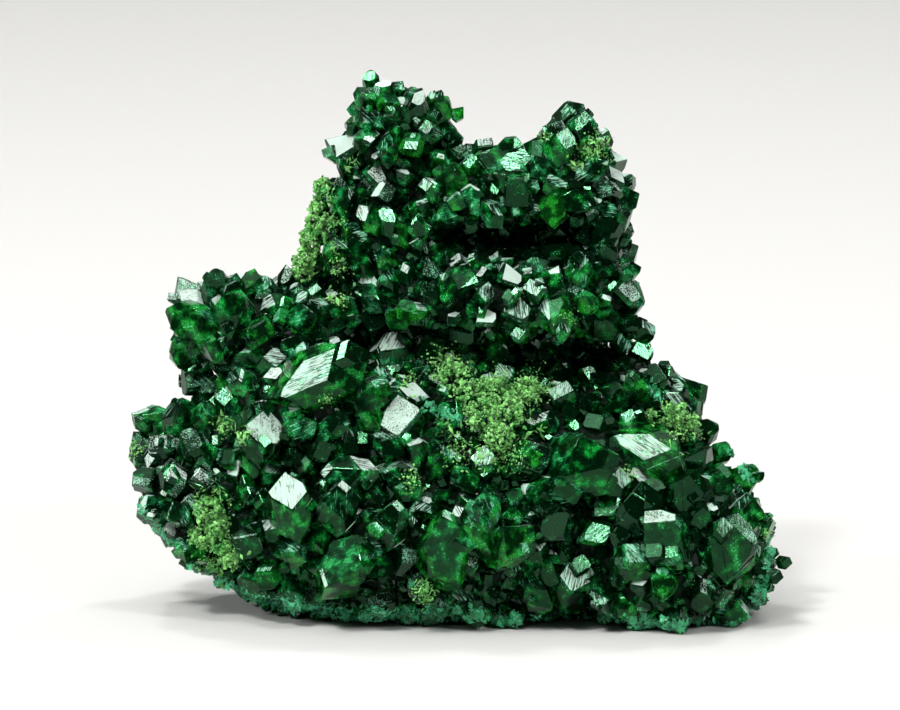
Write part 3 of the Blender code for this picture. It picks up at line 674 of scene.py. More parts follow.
@dataclass(frozen=True)
class EtchedDioptase:
    """Gem dioptase, a copper silicate, with faces that grew in steps and were etched in part.

    Clear deep green glass to the eye, with a satin skin in streaks and specks that shows pale in the light;
    on facets that look up or throw a light back, the pale skin is a painted highlight.

    Args:
        name: the material's name.
        deep: colour where little light comes back.
        lit: colour where light fills a crystal.
        lit_warm: the same for the brightest crystals.
        lit_teal: the same under an etched facet, and under a painted highlight.
        thin_skin_and_highlight: colour of a thin etched skin, and of a faint painted highlight.
        thick_skin_and_highlight: colour of a thick one, and of a strong painted highlight.
        sheen: tint of what its faces mirror.
        ior: its refractive index.
        mirrored: the shader's specular level.
        absorbed: colour that light keeps on its way through.
        absorption: how fast it loses the rest, per metre.
        line_mm: spacing of the growth lines, drawn coarse, since real ones are a few microns apart.
        line_length_mm: how long they run.
        pit_mm: size of the etch pits and of loose specks of skin.
        cloud_mm: size of the clouds inside, which the skin's patches follow.
        contrast: how sharply the clouds stand out from the dark.
        skin_edge: how sharply a skin ends.
        speck_edge: how sharply a speck ends.
        cover: how much of the colour beneath a full skin hides.
        clear: how much light a bare facet and a full skin let in.
        roughness: how rough a bare facet and a full skin are.
        relief_mm: height of the growth lines and of the skin.
    """

    name: str = "etched_dioptase"
    deep: str = "#012009"
    lit: str = "#1ABE44"
    lit_warm: str = "#34B624"
    lit_teal: str = "#40C896"
    thin_skin_and_highlight: str = "#6CC49C"
    thick_skin_and_highlight: str = "#E4F6EC"
    sheen: str = "#8CE8AA"
    ior: float = 1.66
    mirrored: float = 0.09
    absorbed: str = "#1FDC6A"
    absorption: float = 1500
    line_mm: float = 0.13
    line_length_mm: float = 1.9
    pit_mm: float = 0.12
    cloud_mm: float = 1.3
    contrast: float = 2.6
    skin_edge: float = 9.0
    speck_edge: float = 14.0
    cover: float = 0.75
    clear: tuple[float, float] = (0.6, 0.15)
    roughness: tuple[float, float] = (0.08, 0.32)
    relief_mm: float = 0.04

    def make(self) -> bpy.types.Material:
        """Returns the material, whose meshes say with tone how lit each face is, painted shade and glow
        included, and with frost_and_highlight how etched it is, a painted highlight included.
        """
        material = bare_material(self.name)
        add = partial(add_node, material.node_tree)
        facet = add("UVMap", uv_map="facet_mm")
        tone = add("Attribute", attribute_name="tone").outputs["Fac"]
        frost_and_highlight = add("Attribute", attribute_name="frost_and_highlight").outputs["Fac"]
        place = add("TexCoord").outputs["Object"]
        along = add("Mapping", {"Scale": (1 / self.line_mm, 1 / self.line_length_mm, 1)}, {"Vector": facet})
        lines = add("TexNoise", {"Scale": 1.0, "Detail": 4.0, "Distortion": 0.6}, {"Vector": along})
        pits = add("TexNoise", {"Scale": per_metre(self.pit_mm), "Detail": 3.0, "Roughness": 0.6},
                   {"Vector": place})
        cloud = add("TexNoise", {"Scale": per_metre(self.cloud_mm), "Detail": 3.0, "Roughness": 0.6},
                    {"Vector": place})
        specks = add("TexNoise", {"Scale": per_metre(self.pit_mm), "Detail": 1.0}, {"Vector": place})
        # The clouds light up, the more so in a crystal with a high tone: a painted glow, on a tone that also
        # carries painted shade and glow.
        depth = add("Math", {1: 0.5, 2: -0.22}, {0: tone}, operation="MULTIPLY_ADD")
        clouded = add("MapRange", {"From Min": 0.42, "From Max": 0.65}, {"Value": cloud})
        light = add("Math", {}, {0: clouded, 1: depth}, operation="ADD", use_clamp=True)
        brightness = add("Math", {1: self.contrast}, {0: light}, operation="POWER")
        tealness = add("MapRange", {"From Min": 0.1, "From Max": 0.6}, {"Value": frost_and_highlight})
        warmth = add("MapRange", {"From Min": 0.6, "From Max": 1.0, "To Max": 0.6}, {"Value": tone})
        glow = add("Mix", {"A": linear(self.lit), "B": linear(self.lit_warm)}, {0: warmth}, data_type="RGBA")
        lit = add("Mix", {"B": linear(self.lit_teal)}, {0: tealness, "A": glow.outputs[2]}, data_type="RGBA")
        green = add("Mix", {"A": linear(self.deep)}, {0: brightness, "B": lit.outputs[2]}, data_type="RGBA")
        # The skin is where the etching stands above a level that each facet sets; through frost_and_highlight
        # that level also lays a painted highlight on facets that look up or throw a light back.
        lined = add("MapRange", {"From Min": 0.15, "From Max": 0.35, "To Min": 0.1, "To Max": 0.9},
                    {"Value": tone})
        etching = add("Mix", {}, {0: lined, "A": pits, "B": lines})
        drift = add("Math", {1: 0.45, 2: -0.965}, {0: cloud}, operation="MULTIPLY_ADD")
        level = add("Math", {1: 0.48}, {0: frost_and_highlight, 2: drift}, operation="MULTIPLY_ADD")
        above = add("Math", {}, {0: etching, 1: level}, operation="ADD")
        skin = add("Math", {1: self.skin_edge}, {0: above}, operation="MULTIPLY", use_clamp=True)
        # Loose specks of skin lie in patches even on clean facets.
        patch = add("Math", {1: 0.8, 2: -1.14}, {0: cloud}, operation="MULTIPLY_ADD")
        speck_level = add("Math", {}, {0: specks, 1: patch}, operation="ADD")
        speck = add("Math", {1: self.speck_edge}, {0: speck_level}, operation="MULTIPLY", use_clamp=True)
        both = add("Math", {}, {0: skin, 1: speck}, operation="MAXIMUM")
        coverage = add("Math", {1: self.cover}, {0: both}, operation="MULTIPLY")
        whiteness = add("MapRange", {"From Min": 0.25, "From Max": 0.75}, {"Value": frost_and_highlight})
        skin_and_highlight_colour = add("Mix", {"A": linear(self.thin_skin_and_highlight), "B": linear(self.thick_skin_and_highlight)}, {0: whiteness},
                          data_type="RGBA")
        colour = add("Mix", {}, {0: coverage, "A": green.outputs[2], "B": skin_and_highlight_colour.outputs[2]},
                     data_type="RGBA")
        rough = add("MapRange", {"To Min": self.roughness[0], "To Max": self.roughness[1]}, {"Value": both})
        clear = add("MapRange", {"To Min": self.clear[0], "To Max": self.clear[1]}, {"Value": both})
        waves = add("Bump", {"Strength": 0.25, "Distance": self.relief_mm * MM}, {"Height": lines})
        etched = add("Bump", {"Strength": 0.6, "Distance": self.relief_mm * MM},
                     {"Height": skin, "Normal": waves})
        shader = add("BsdfPrincipled", {"IOR": self.ior, "Specular IOR Level": self.mirrored,
                                        "Specular Tint": linear(self.sheen)},
                     {"Base Color": colour.outputs[2], "Roughness": rough, "Transmission Weight": clear,
                      "Normal": etched})
        inside = add("VolumeAbsorption", {"Color": linear(self.absorbed), "Density": self.absorption})
        add("OutputMaterial", {}, {"Surface": shader, "Volume": inside})
        return material


@dataclass(frozen=True)
class MatteMineral:
    """A mineral that light doesn't pass: a fine grain coloured by depth, grain and patch, its depth as
    painted shade in the hollows and painted light on the tops.

    Args:
        name: the material's name.
        dark: colour in the hollows of the grain and of dark grains, a painted shade in the hollows.
        bright: colour on its tops and of bright grains, a painted light on the tops.
        tint: a second colour that drifts through it in patches.
        grain_mm: size of the grain.
        patch_mm: size of the patches.
        roughness: how matt the grain is.
        relief: how strongly the grain stands out.
        gloss: the shader's specular level.
        relief_mm: height of the grain.
    """

    name: str
    dark: str
    bright: str
    tint: str
    grain_mm: float
    patch_mm: float
    roughness: float
    relief: float = 0.5
    gloss: float = 0.35
    relief_mm: float = 0.08

    def make(self) -> bpy.types.Material:
        """Returns the material, whose meshes say with tone how bright each face is."""
        material = bare_material(self.name)
        add = partial(add_node, material.node_tree)
        place = add("TexCoord").outputs["Object"]
        tone = add("Attribute", attribute_name="tone").outputs["Fac"]
        grain = add("TexNoise", {"Scale": per_metre(self.grain_mm), "Detail": 4.0}, {"Vector": place})
        patch = add("TexNoise", {"Scale": per_metre(self.patch_mm), "Detail": 2.0}, {"Vector": place})
        # Painted shade and light: the colour darkens where the grain is low and brightens on its tops, over
        # the tone.
        level = add("Math", {}, {0: tone, 1: grain}, operation="ADD")
        spread = add("MapRange", {"From Min": 0.45, "From Max": 1.3}, {"Value": level})
        body = add("Mix", {"A": linear(self.dark), "B": linear(self.bright)}, {0: spread}, data_type="RGBA")
        drift = add("MapRange", {"From Min": 0.5, "From Max": 0.7, "To Max": 0.7}, {"Value": patch})
        colour = add("Mix", {"B": linear(self.tint)}, {0: drift, "A": body.outputs[2]}, data_type="RGBA")
        relief = add("Bump", {"Strength": self.relief, "Distance": self.relief_mm * MM}, {"Height": grain})
        shader = add("BsdfPrincipled", {"Roughness": self.roughness, "Specular IOR Level": self.gloss},
                     {"Base Color": colour.outputs[2], "Normal": relief})
        add("OutputMaterial", {}, {"Surface": shader})
        return material


# The grown-together dioptase under the crystals: broken, and nearly black, darkest in the hollows of its
# grain: a painted shade over its deep green.
MASSIVE = MatteMineral("massive_dioptase", "#010B04", "#083A18", "#032214", 0.5, 5.0, 0.4, 1.0, 0.08)
# Malachite in fine fibres and grains: bright leaf green, quite matt.
MALACHITE_FINISH = MatteMineral("fibrous_malachite", "#082F08", "#A0EE88", "#2C9438", 0.3, 2.0, 0.6)
# A thin skin of blue-green copper silicate over the broken rim.
RIND_FINISH = MatteMineral("teal_copper_silicate", "#052F18", "#4FC48A", "#0F7C3C", 0.4, 2.5, 0.3)


class Habit(Enum):
    """The kinds of crystal, each a set of ready shapes."""

    LARGE = "large"
    WORN = "worn"
    SMALL = "small"
    TINY = "tiny"


@dataclass(frozen=True)
class Plan:
    """How the crystals of a habit grow.

    Args:
        uneven: how far their faces stand off from where they'd be on an even crystal, in radii.
        planed: how many of their edges carry a narrow extra face.
        worn: how many cuts round them off, anywhere.
        edge: how wide their chipped edges are, in radii, or 0 for sharp ones.
        steps: how many growth steps are tried on them.
    """

    uneven: float
    planed: int = 0
    worn: int = 0
    edge: float = 0.0
    steps: int = 0


PLANS = {
    Habit.LARGE: Plan(0.2, 11, 0, 0.035, 8),
    Habit.WORN: Plan(0.2, 6, 16, 0.04, 5),
    Habit.SMALL: Plan(0.22, 4, 1, 0.045, 1),
    Habit.TINY: Plan(0.24),
}


@dataclass(frozen=True)
class Shape:
    """A crystal's mesh as arrays.

    Args:
        points: its points.
        corners: the points at the corners of each face, one face after another.
        sizes: how many corners each face has.
        facets: which of the crystal's 12 faces each face lies along.
        worn: 1 where the face is a chipped edge, otherwise 0.
        grown: 1 where the face lies flat along its facet, 0 where it is an extra one.
    """

    points: np.ndarray
    corners: np.ndarray
    sizes: np.ndarray
    facets: np.ndarray
    worn: np.ndarray
    grown: np.ndarray

    @classmethod
    def read(cls, bm: bmesh.types.BMesh) -> "Shape":
        """Reads a mesh.

        Args:
            bm: the mesh, whose worn faces have material 1.

        Returns:
            Its shape.
        """
        bm.normal_update()
        bm.verts.index_update()
        match = np.array([face.normal for face in bm.faces]) @ FACET_NORMALS.T
        return cls(
            np.array([vert.co for vert in bm.verts]),
            np.array([vert.index for face in bm.faces for vert in face.verts]),
            np.array([len(face.verts) for face in bm.faces]),
            match.argmax(axis=1),
            np.array([float(face.material_index) for face in bm.faces]),
            (match.max(axis=1) > 0.995).astype(float),
        )

    @classmethod
    def raised(cls, stretch: float, plan: Plan, chance: random.Random) -> "Shape":
        """Grows a crystal with a radius of 1.

        Args:
            stretch: the length of a prism edge, in radii.
            plan: how it grows.
            chance: draws all of it.

        Returns:
            The crystal's shape.
        """
        bm = bmesh.new()
        bmesh.ops.create_cube(bm, size=6)
        for normal, distance in zip(FACET_NORMALS, facet_distances(stretch)):
            cls._plane(bm, Vector(normal), distance * (1 + chance.uniform(-plan.uneven, plan.uneven * 0.4)))
        for _ in range(plan.planed):
            cls._plane_edge(bm, chance)
        for _ in range(plan.worn):
            cls._plane_off(bm, random_way(chance), chance.uniform(0.06, 0.34))
        bmesh.ops.recalc_face_normals(bm, faces=bm.faces[:])
        if plan.edge:
            bmesh.ops.bevel(bm, geom=bm.edges[:], offset=plan.edge, offset_type="OFFSET", segments=1,
                            profile=0.5, affect="EDGES", clamp_overlap=True, material=1)
        for _ in range(plan.steps):
            cls._step(bm, chance)
        shape = cls.read(bm)
        bm.free()
        return shape

    @staticmethod
    def _plane(bm: bmesh.types.BMesh, normal: Vector, distance: float) -> None:
        """Cuts away what lies beyond a plane, and closes the cut.

        Args:
            bm: the mesh.
            normal: the plane's direction.
            distance: how far the plane is from the middle.
        """
        cut = bmesh.ops.bisect_plane(bm, geom=bm.verts[:] + bm.edges[:] + bm.faces[:],
                                     plane_co=normal * distance, plane_no=normal, clear_outer=True)
        rim = [part for part in cut["geom_cut"] if isinstance(part, bmesh.types.BMEdge)]
        if rim:
            bmesh.ops.contextual_create(bm, geom=rim)

    @classmethod
    def _plane_off(cls, bm: bmesh.types.BMesh, normal: Vector, depth: float) -> None:
        """Takes off what reaches furthest in a direction, to a depth."""
        reach = max(vert.co.dot(normal) for vert in bm.verts)
        cls._plane(bm, normal, reach - depth)

    @classmethod
    def _plane_edge(cls, bm: bmesh.types.BMesh, chance: random.Random) -> None:
        """Takes off one edge, or where the two faces don't meet, one corner.

        Args:
            bm: the mesh.
            chance: draws the two faces and how much goes.
        """
        first = Vector(chance.choice(FACET_NORMALS.tolist()))
        next_to = [normal for normal in FACET_NORMALS.tolist() if 0.1 < first.dot(Vector(normal)) < 0.9]
        second = Vector(chance.choice(next_to))
        normal = (first + second * chance.uniform(0.6, 1.4)).normalized()
        cls._plane_off(bm, normal, chance.uniform(0.03, 0.2))

    @staticmethod
    def _step(bm: bmesh.types.BMesh, chance: random.Random) -> None:
        """Raises or lowers the part of one face beyond a line along one of its edges.

        Args:
            bm: the mesh.
            chance: draws the face, the line and the height.
        """
        wide = [face for face in bm.faces if face.material_index == 0 and face.calc_area() > 0.12]
        if not wide:
            return
        face = chance.choice(wide)
        edge = chance.choice(face.edges[:])
        way = face.normal.cross(edge.verts[1].co - edge.verts[0].co).normalized()
        reach = [(vert.co - edge.verts[0].co).dot(way) for vert in face.verts]
        least, most = min(reach), max(reach)
        cut_at = edge.verts[0].co + way * (least + (most - least) * chance.uniform(0.2, 0.8))
        side = 1 if chance.random() < 0.5 else -1
        middle = face.calc_center_median()
        bmesh.ops.bisect_plane(bm, geom=[face, *face.edges, *face.verts], plane_co=cut_at, plane_no=way)
        normal = face.normal.copy()
        near = [
            other for other in bm.faces
            if other.material_index == 0 and other.normal.dot(normal) > 0.9999
            and abs((other.calc_center_median() - middle).dot(normal)) < 1e-4
            and (other.calc_center_median() - cut_at).dot(way) * side > 0
        ]
        if not near:
            return
        known = set(bm.faces)
        depth = chance.uniform(0.012, 0.035) * (1 if chance.random() < 0.8 else -1)
        bmesh.ops.inset_individual(bm, faces=near[:1], thickness=0.012, depth=depth, use_even_offset=True)
        if chance.random() < 0.6:
            for riser in set(bm.faces) - known:
                riser.material_index = 1

    def placed(self, crystal: Crystal) -> "Shape":
        """Puts the shape at a crystal's size and place.

        Args:
            crystal: the crystal.

        Returns:
            The shape in millimetres, cut off flat at the ground.
        """
        points = self.points * crystal.radius @ np.array(crystal.turn).T + np.array(crystal.middle)
        put = replace(self, points=points)
        return put if points[:, 2].min() >= 0 else put.cut_at_ground()

    def cut_at_ground(self) -> "Shape":
        """Cuts the shape where the cluster was broken from its rock.

        Returns:
            The part above the ground, which may have no face.
        """
        bm = bmesh.new()
        verts = [bm.verts.new(point) for point in self.points]
        ends = np.cumsum(self.sizes)
        for end, size, facet, worn, grown in zip(ends, self.sizes, self.facets, self.worn, self.grown):
            face = bm.faces.new([verts[i] for i in self.corners[end - size:end]])
            face.material_index = int(facet * 4 + worn * 2 + grown)
        cut_at_floor(bm)
        if bm.faces:
            shape = Shape.read(bm)
            marks = np.array([face.material_index for face in bm.faces])
        else:
            shape, marks = replace(self, points=self.points[:0], corners=self.corners[:0],
                                   sizes=self.sizes[:0]), self.facets[:0]
        bm.free()
        return replace(shape, facets=marks // 4, worn=(marks // 2 % 2).astype(float),
                       grown=(marks % 2).astype(float))


def cut_at_floor(bm: bmesh.types.BMesh) -> None:
    """Cuts a body off flat at the ground.

    Args:
        bm: the body's mesh.
    """
    if min(vert.co.z for vert in bm.verts) >= 0:
        return
    bmesh.ops.bisect_plane(bm, geom=bm.verts[:] + bm.edges[:] + bm.faces[:], plane_co=(0, 0, 0),
                           plane_no=(0, 0, -1), clear_outer=True)
    rim = [edge for edge in bm.edges if edge.is_boundary]
    if rim:
        bmesh.ops.holes_fill(bm, edges=rim, sides=0)


@dataclass
class ShapeLibrary:
    """Ready shapes with a radius of 1, so that thousands of crystals take little time.

    Args:
        seed: seeds the draws.
        each: how many shapes a habit has.
        shapes: for each habit, the stretches and shapes.
    """

    seed: int = 9
    each: int = 22
    shapes: dict[Habit, list[tuple[float, Shape]]] = field(default_factory=dict)

    def grow(self) -> "ShapeLibrary":
        """Grows the shapes and returns the library."""
        chance = random.Random(self.seed)
        for habit, plan in PLANS.items():
            stretches = [0.35 + 1.1 * index / self.each for index in range(self.each)]
            self.shapes[habit] = [(stretch, Shape.raised(stretch, plan, chance)) for stretch in stretches]
        return self

    def pick(self, habit: Habit, stretch: float, chance: random.Random) -> Shape:
        """Returns one of the three shapes of a habit whose stretch is nearest."""
        ranked = sorted(self.shapes[habit], key=lambda known: abs(known[0] - stretch))
        return chance.choice(ranked[:3])[1]


@dataclass
class MeshMaker:
    """Collects many small bodies and makes one mesh of them."""

    points: list[np.ndarray] = field(default_factory=list)
    corners: list[np.ndarray] = field(default_factory=list)
    sizes: list[np.ndarray] = field(default_factory=list)
    tones: list[np.ndarray] = field(default_factory=list)
    frosts_and_highlight: list[np.ndarray] = field(default_factory=list)
    facet_mm: list[np.ndarray] = field(default_factory=list)
    count: int = 0

    def add(self, points: np.ndarray, corners: np.ndarray, sizes: np.ndarray, tone: float, frosts_and_highlight: np.ndarray,
            facet_mm: np.ndarray) -> None:
        """Adds a body.

        Args:
            points: its points, in millimetres.
            corners: the points at the corners of each face, one face after another.
            sizes: how many corners each face has.
            tone: how bright its colour is, from 0 to 1.
            frosts_and_highlight: how etched each face is, with its painted highlight, from 0 to 1.
            facet_mm: for each corner, its place on the facet.
        """
        self.points.append(points)
        self.corners.append(corners + self.count)
        self.sizes.append(sizes)
        self.tones.append(np.full(len(sizes), tone))
        self.frosts_and_highlight.append(frosts_and_highlight)
        self.facet_mm.append(facet_mm)
        self.count += len(points)

    def object(self, name: str, material: bpy.types.Material) -> bpy.types.Object:
        """Makes the object.

        Args:
            name: its name.
            material: its material.

        Returns:
            The new object.
        """
        points, corners, sizes = (np.concatenate(part) for part in (self.points, self.corners, self.sizes))
        mesh = bpy.data.meshes.new(name)
        mesh.vertices.add(len(points))
        mesh.vertices.foreach_set("co", (points * MM).astype(np.float32).ravel())
        mesh.loops.add(len(corners))
        mesh.loops.foreach_set("vertex_index", corners.astype(np.int32))
        mesh.polygons.add(len(sizes))
        mesh.polygons.foreach_set("loop_start", (np.cumsum(sizes) - sizes).astype(np.int32))
        mesh.polygons.foreach_set("use_smooth", np.zeros(len(sizes), bool))
        mesh.materials.append(material)
        mesh.update(calc_edges=True)
        for label, values in (("tone", self.tones), ("frost_and_highlight", self.frosts_and_highlight)):
            layer = mesh.attributes.new(label, "FLOAT", "FACE")
            layer.data.foreach_set("value", np.concatenate(values).astype(np.float32))
        layer = mesh.uv_layers.new(name="facet_mm")
        layer.data.foreach_set("uv", np.concatenate(self.facet_mm).astype(np.float32).ravel())
        mesh.validate()
        return linked(name, mesh)


def ride_and_replace(piece: bpy.types.Object, node: str) -> None:
    """Fixes a piece to the body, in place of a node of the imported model.

    Args:
        piece: the piece.
        node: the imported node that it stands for.
    """
    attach(piece, BODY)
    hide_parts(node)
    report(piece)


def report(piece: bpy.types.Object) -> None:
    """Logs how large a finished piece is."""
    triangles = sum(len(face.vertices) - 2 for face in piece.data.polygons)
    LOG.info("%s: %d triangles", piece.name, triangles)


@dataclass
class CrystalGroup:
    """Crystals that make one piece.

    Args:
        name: the piece's name.
        crystals: its crystals.
        habit: the kind of shape that they take.
        seed: seeds the draws of shapes and skins.
        skins_and_highlight: how etched a facet may be.
        upward_painted_highlight: how much more pale skin one that looks up may get, a painted highlight of
            the light from above.
        flash_painted_highlight: the least and the most pale skin of one that throws the light back, a painted
            highlight.
        wear: how much more etched the chipped edges may be.
        extra_skin: how much of its facet's etching an extra face keeps.
    """

    name: str
    crystals: list[Crystal]
    habit: Habit
    seed: int
    skins_and_highlight: tuple[float, ...] = (0.0, 0.05, 0.1, 0.18, 0.35)
    upward_painted_highlight: tuple[float, ...] = (0.15, 0.4, 0.65)
    flash_painted_highlight: tuple[float, float] = (0.42, 0.85)
    wear: tuple[float, ...] = (0.0, 0.08, 0.22)
    extra_skin: float = 0.35

    def make(self, library: ShapeLibrary, material: bpy.types.Material) -> bpy.types.Object:
        """Builds the piece.

        Args:
            library: the ready shapes.
            material: the crystals' finish.

        Returns:
            The piece's object.
        """
        chance = random.Random(self.seed)
        maker = MeshMaker()
        for crystal in self.crystals:
            shape = library.pick(self.habit, crystal.stretch, chance).placed(crystal)
            tone, offset = chance.random(), chance.uniform(0, 500)
            tone, skins_and_highlight = self._lit(crystal, tone, self._skins_and_highlight(crystal, chance))
            wear = chance.choice(self.wear)
            if not len(shape.sizes):
                continue
            kept = self.extra_skin + (1 - self.extra_skin) * shape.grown
            frosts_and_highlight = skins_and_highlight[shape.facets] * kept + shape.worn * wear
            maker.add(shape.points, shape.corners, shape.sizes, tone, frosts_and_highlight,
                      self._facet_mm(crystal, shape) + offset)
        return maker.object(self.name, material)

    def _skins_and_highlight(self, crystal: Crystal, chance: random.Random) -> np.ndarray:
        """Draws how etched each facet is, and adds pale skin as a painted highlight: more where it looks up,
        and most where it throws the light back.

        Args:
            crystal: the crystal.
            chance: draws it.

        Returns:
            The etching of the 12 facets with their painted highlight, from 0 to 1.
        """
        upward = np.clip(crystal.normals()[:, 2], 0, 1)
        skins_and_highlight = np.array([chance.choice(self.skins_and_highlight) for _ in upward])
        # Painted highlight: facets that look up get more pale skin.
        skins_and_highlight += upward * chance.choice(self.upward_painted_highlight)
        # Painted highlight: the facet that throws a light back gets the most pale skin.
        if crystal.flash >= 0:
            skins_and_highlight[crystal.flash] = chance.uniform(*self.flash_painted_highlight)
        return skins_and_highlight

    @staticmethod
    def _lit(crystal: Crystal, tone: float, skins_and_highlight: np.ndarray) -> tuple[float, np.ndarray]:
        """Fits tone and etching to the crystal's place, as in the picture: painted shade darkens it in gaps
        and shaded places, frosted places add frost with a painted highlight on its upper facets, and painted
        glow brightens it in glowing places.

        Args:
            crystal: the crystal.
            tone: how bright it is.
            skins_and_highlight: how etched its facets are, with their painted highlight.

        Returns:
            The fitted tone and etching, with the painted shade, highlight and glow.
        """
        # Painted shade: in a gap or a shaded place the tone drops and the pale skin fades.
        painted_shade = max(crystal.painted_shade, float(lies_in(crystal.middle, PAINTED_SHADE_PLACES)))
        if crystal.flash < 0 and painted_shade:
            return tone - 0.9 * painted_shade, skins_and_highlight * (1 - 0.8 * painted_shade)
        # Frosted places: more pale skin on the upper facets, partly etching and partly painted highlight,
        # over a darker tone.
        if lies_in(crystal.middle, FROSTED_AND_HIGHLIGHT_PLACES):
            return tone * 0.4, skins_and_highlight + np.clip(crystal.normals()[:, 2] + 0.4, 0, 1) * 0.35
        # Painted glow: the tone rises in glowing places.
        return (tone + 0.35 if lies_in(crystal.middle, PAINTED_GLOW_PLACES) else tone), skins_and_highlight

    @staticmethod
    def _facet_mm(crystal: Crystal, shape: Shape) -> np.ndarray:
        """Lays each face out on its facet, for the growth lines, which run with the crystal's axis.

        Args:
            crystal: the crystal.
            shape: its shape, in place.

        Returns:
            For each corner, how far it is across the axis and along it, in millimetres.
        """
        normals = crystal.normals()[shape.facets]
        axis = np.array(crystal.turn.col[2])
        along = axis - normals * (normals @ axis)[:, None]
        along = along / np.maximum(np.linalg.norm(along, axis=1)[:, None], 1e-6)
        beside = np.cross(normals, along)
        spots = shape.points[shape.corners]
        return np.stack([(spots * np.repeat(way, shape.sizes, axis=0)).sum(axis=1)
                         for way in (beside, along)], axis=1)


@dataclass
class BrokenMass:
    """The grown-together dioptase that the crystals stand on.

    Args:
        name: the piece's name.
        voxel_mm: the grain it is remeshed at.
        rough_mm: how far its surface is roughened.
        waves: for each size of unevenness, how fine it is per millimetre and its share.
        sunk: how far below the smooth surface the rough one lies on the whole, as a share of rough_mm.
    """

    name: str = "massive_dioptase_body"
    voxel_mm: float = 0.62
    rough_mm: float = 0.7
    waves: tuple[tuple[float, float], ...] = ((0.45, 0.8), (1.7, 0.5))
    sunk: float = 0.55

    def make(self, material: bpy.types.Material) -> bpy.types.Object:
        """Builds the piece.

        Args:
            material: its finish.

        Returns:
            The piece's object.
        """
        mass = self._lumps("lumps", LUMPS)
        remesh = mass.modifiers.new("one_body", "REMESH")
        remesh.mode = "VOXEL"
        remesh.voxel_size = self.voxel_mm * MM
        cut = mass.modifiers.new("hollows", "BOOLEAN")
        cut.operation = "DIFFERENCE"
        cut.object = self._lumps("hollows", HOLLOWS)
        cut.use_self = True
        graph = bpy.context.evaluated_depsgraph_get()
        mesh = bpy.data.meshes.new_from_object(mass.evaluated_get(graph))
        for helper in (cut.object, mass):
            bpy.data.objects.remove(helper)
        bm = bmesh.new()
        bm.from_mesh(mesh)
        bmesh.ops.scale(bm, vec=Vector((1, 1, 1)) / MM, verts=bm.verts)
        bm.normal_update()
        for vert in bm.verts:
            rise = sum(noise.noise(vert.co * fineness) * share for fineness, share in self.waves)
            vert.co += vert.normal * self.rough_mm * (rise - self.sunk)
        cut_at_floor(bm)
        bmesh.ops.scale(bm, vec=Vector((1, 1, 1)) * MM, verts=bm.verts)
        bm.to_mesh(mesh)
        bm.free()
        mesh.name = self.name
        mesh.attributes.new("tone", "FLOAT", "FACE")
        mesh.materials.clear()
        mesh.materials.append(material)
        mesh.polygons.foreach_set("material_index", [0] * len(mesh.polygons))
        return linked(self.name, mesh)

    def _lumps(self, name: str, lumps: Sequence[Lump]) -> bpy.types.Object:
        """Makes overlapping ellipsoids in one mesh.

        Args:
            name: the object's name.
            lumps: the ellipsoids.

        Returns:
            The object.
        """
        bm = bmesh.new()
        for cx, cy, cz, rx, ry, rz in lumps:
            place = Matrix.Translation(Vector((cx, cy, cz)) * MM)
            place = place @ Matrix.Diagonal((rx * MM, ry * MM, rz * MM, 1))
            bmesh.ops.create_icosphere(bm, subdivisions=5, radius=1, matrix=place)
        mesh = bpy.data.meshes.new(name)
        bm.to_mesh(mesh)
        bm.free()
        return linked(name, mesh)


@dataclass
class Ground:
    """The surface of the broken mass as a place to grow on.

    Args:
        points: points of it, in millimetres.
        normals: the way out of it at each point.
    """

    points: np.ndarray
    normals: np.ndarray

    @classmethod
    def of(cls, mass: bpy.types.Object, count: int, seed: int) -> "Ground":
        """Scatters points evenly over the mass.

        Args:
            mass: the mass's object.
            count: how many points.
            seed: seeds the draw.

        Returns:
            The points in millimetres, with their normals.
        """
        mesh = mass.data
        mesh.calc_loop_triangles()
        corners = np.empty(len(mesh.vertices) * 3)
        mesh.vertices.foreach_get("co", corners)
        corners = corners.reshape(-1, 3) / MM
        order = np.empty(len(mesh.loop_triangles) * 3, int)
        mesh.loop_triangles.foreach_get("vertices", order)
        triangles = corners[order.reshape(-1, 3)]
        across = np.cross(triangles[:, 1] - triangles[:, 0], triangles[:, 2] - triangles[:, 0])
        area = np.linalg.norm(across, axis=1)
        draw = np.random.RandomState(seed)
        chosen = draw.choice(len(area), count, p=area / area.sum())
        u, v = draw.rand(2, count, 1)
        flip = u + v > 1
        u, v = np.where(flip, 1 - u, u), np.where(flip, 1 - v, v)
        picked = triangles[chosen]
        points = picked[:, 0] + u * (picked[:, 1] - picked[:, 0]) + v * (picked[:, 2] - picked[:, 0])
        return cls(points, across[chosen] / area[chosen, None])

    def bare(self, crystals: Iterable[Crystal], margin: float) -> "Ground":
        """Leaves out the points that crystals cover.

        Args:
            crystals: the crystals.
            margin: how deep inside a crystal a point has to be to go, in radii.

        Returns:
            The points that are left.
        """
        keep = np.ones(len(self.points), bool)
        for crystal in crystals:
            near = np.linalg.norm(self.points - np.array(crystal.middle), axis=1) < 2.2 * crystal.radius
            near &= keep
            keep[near] = ~crystal.holds(self.points[near], margin)
        return Ground(self.points[keep], self.normals[keep])


def drawn_size(sizes: tuple[float, float], rarity: float, chance: random.Random) -> float:
    """Draws a size of which small ones are more common.

    Args:
        sizes: the least and the largest.
        rarity: how rare the large ones are, 1 where all sizes are as common.
        chance: draws it.

    Returns:
        The size.
    """
    least, most = sizes
    return least + (most - least) * chance.random() ** rarity


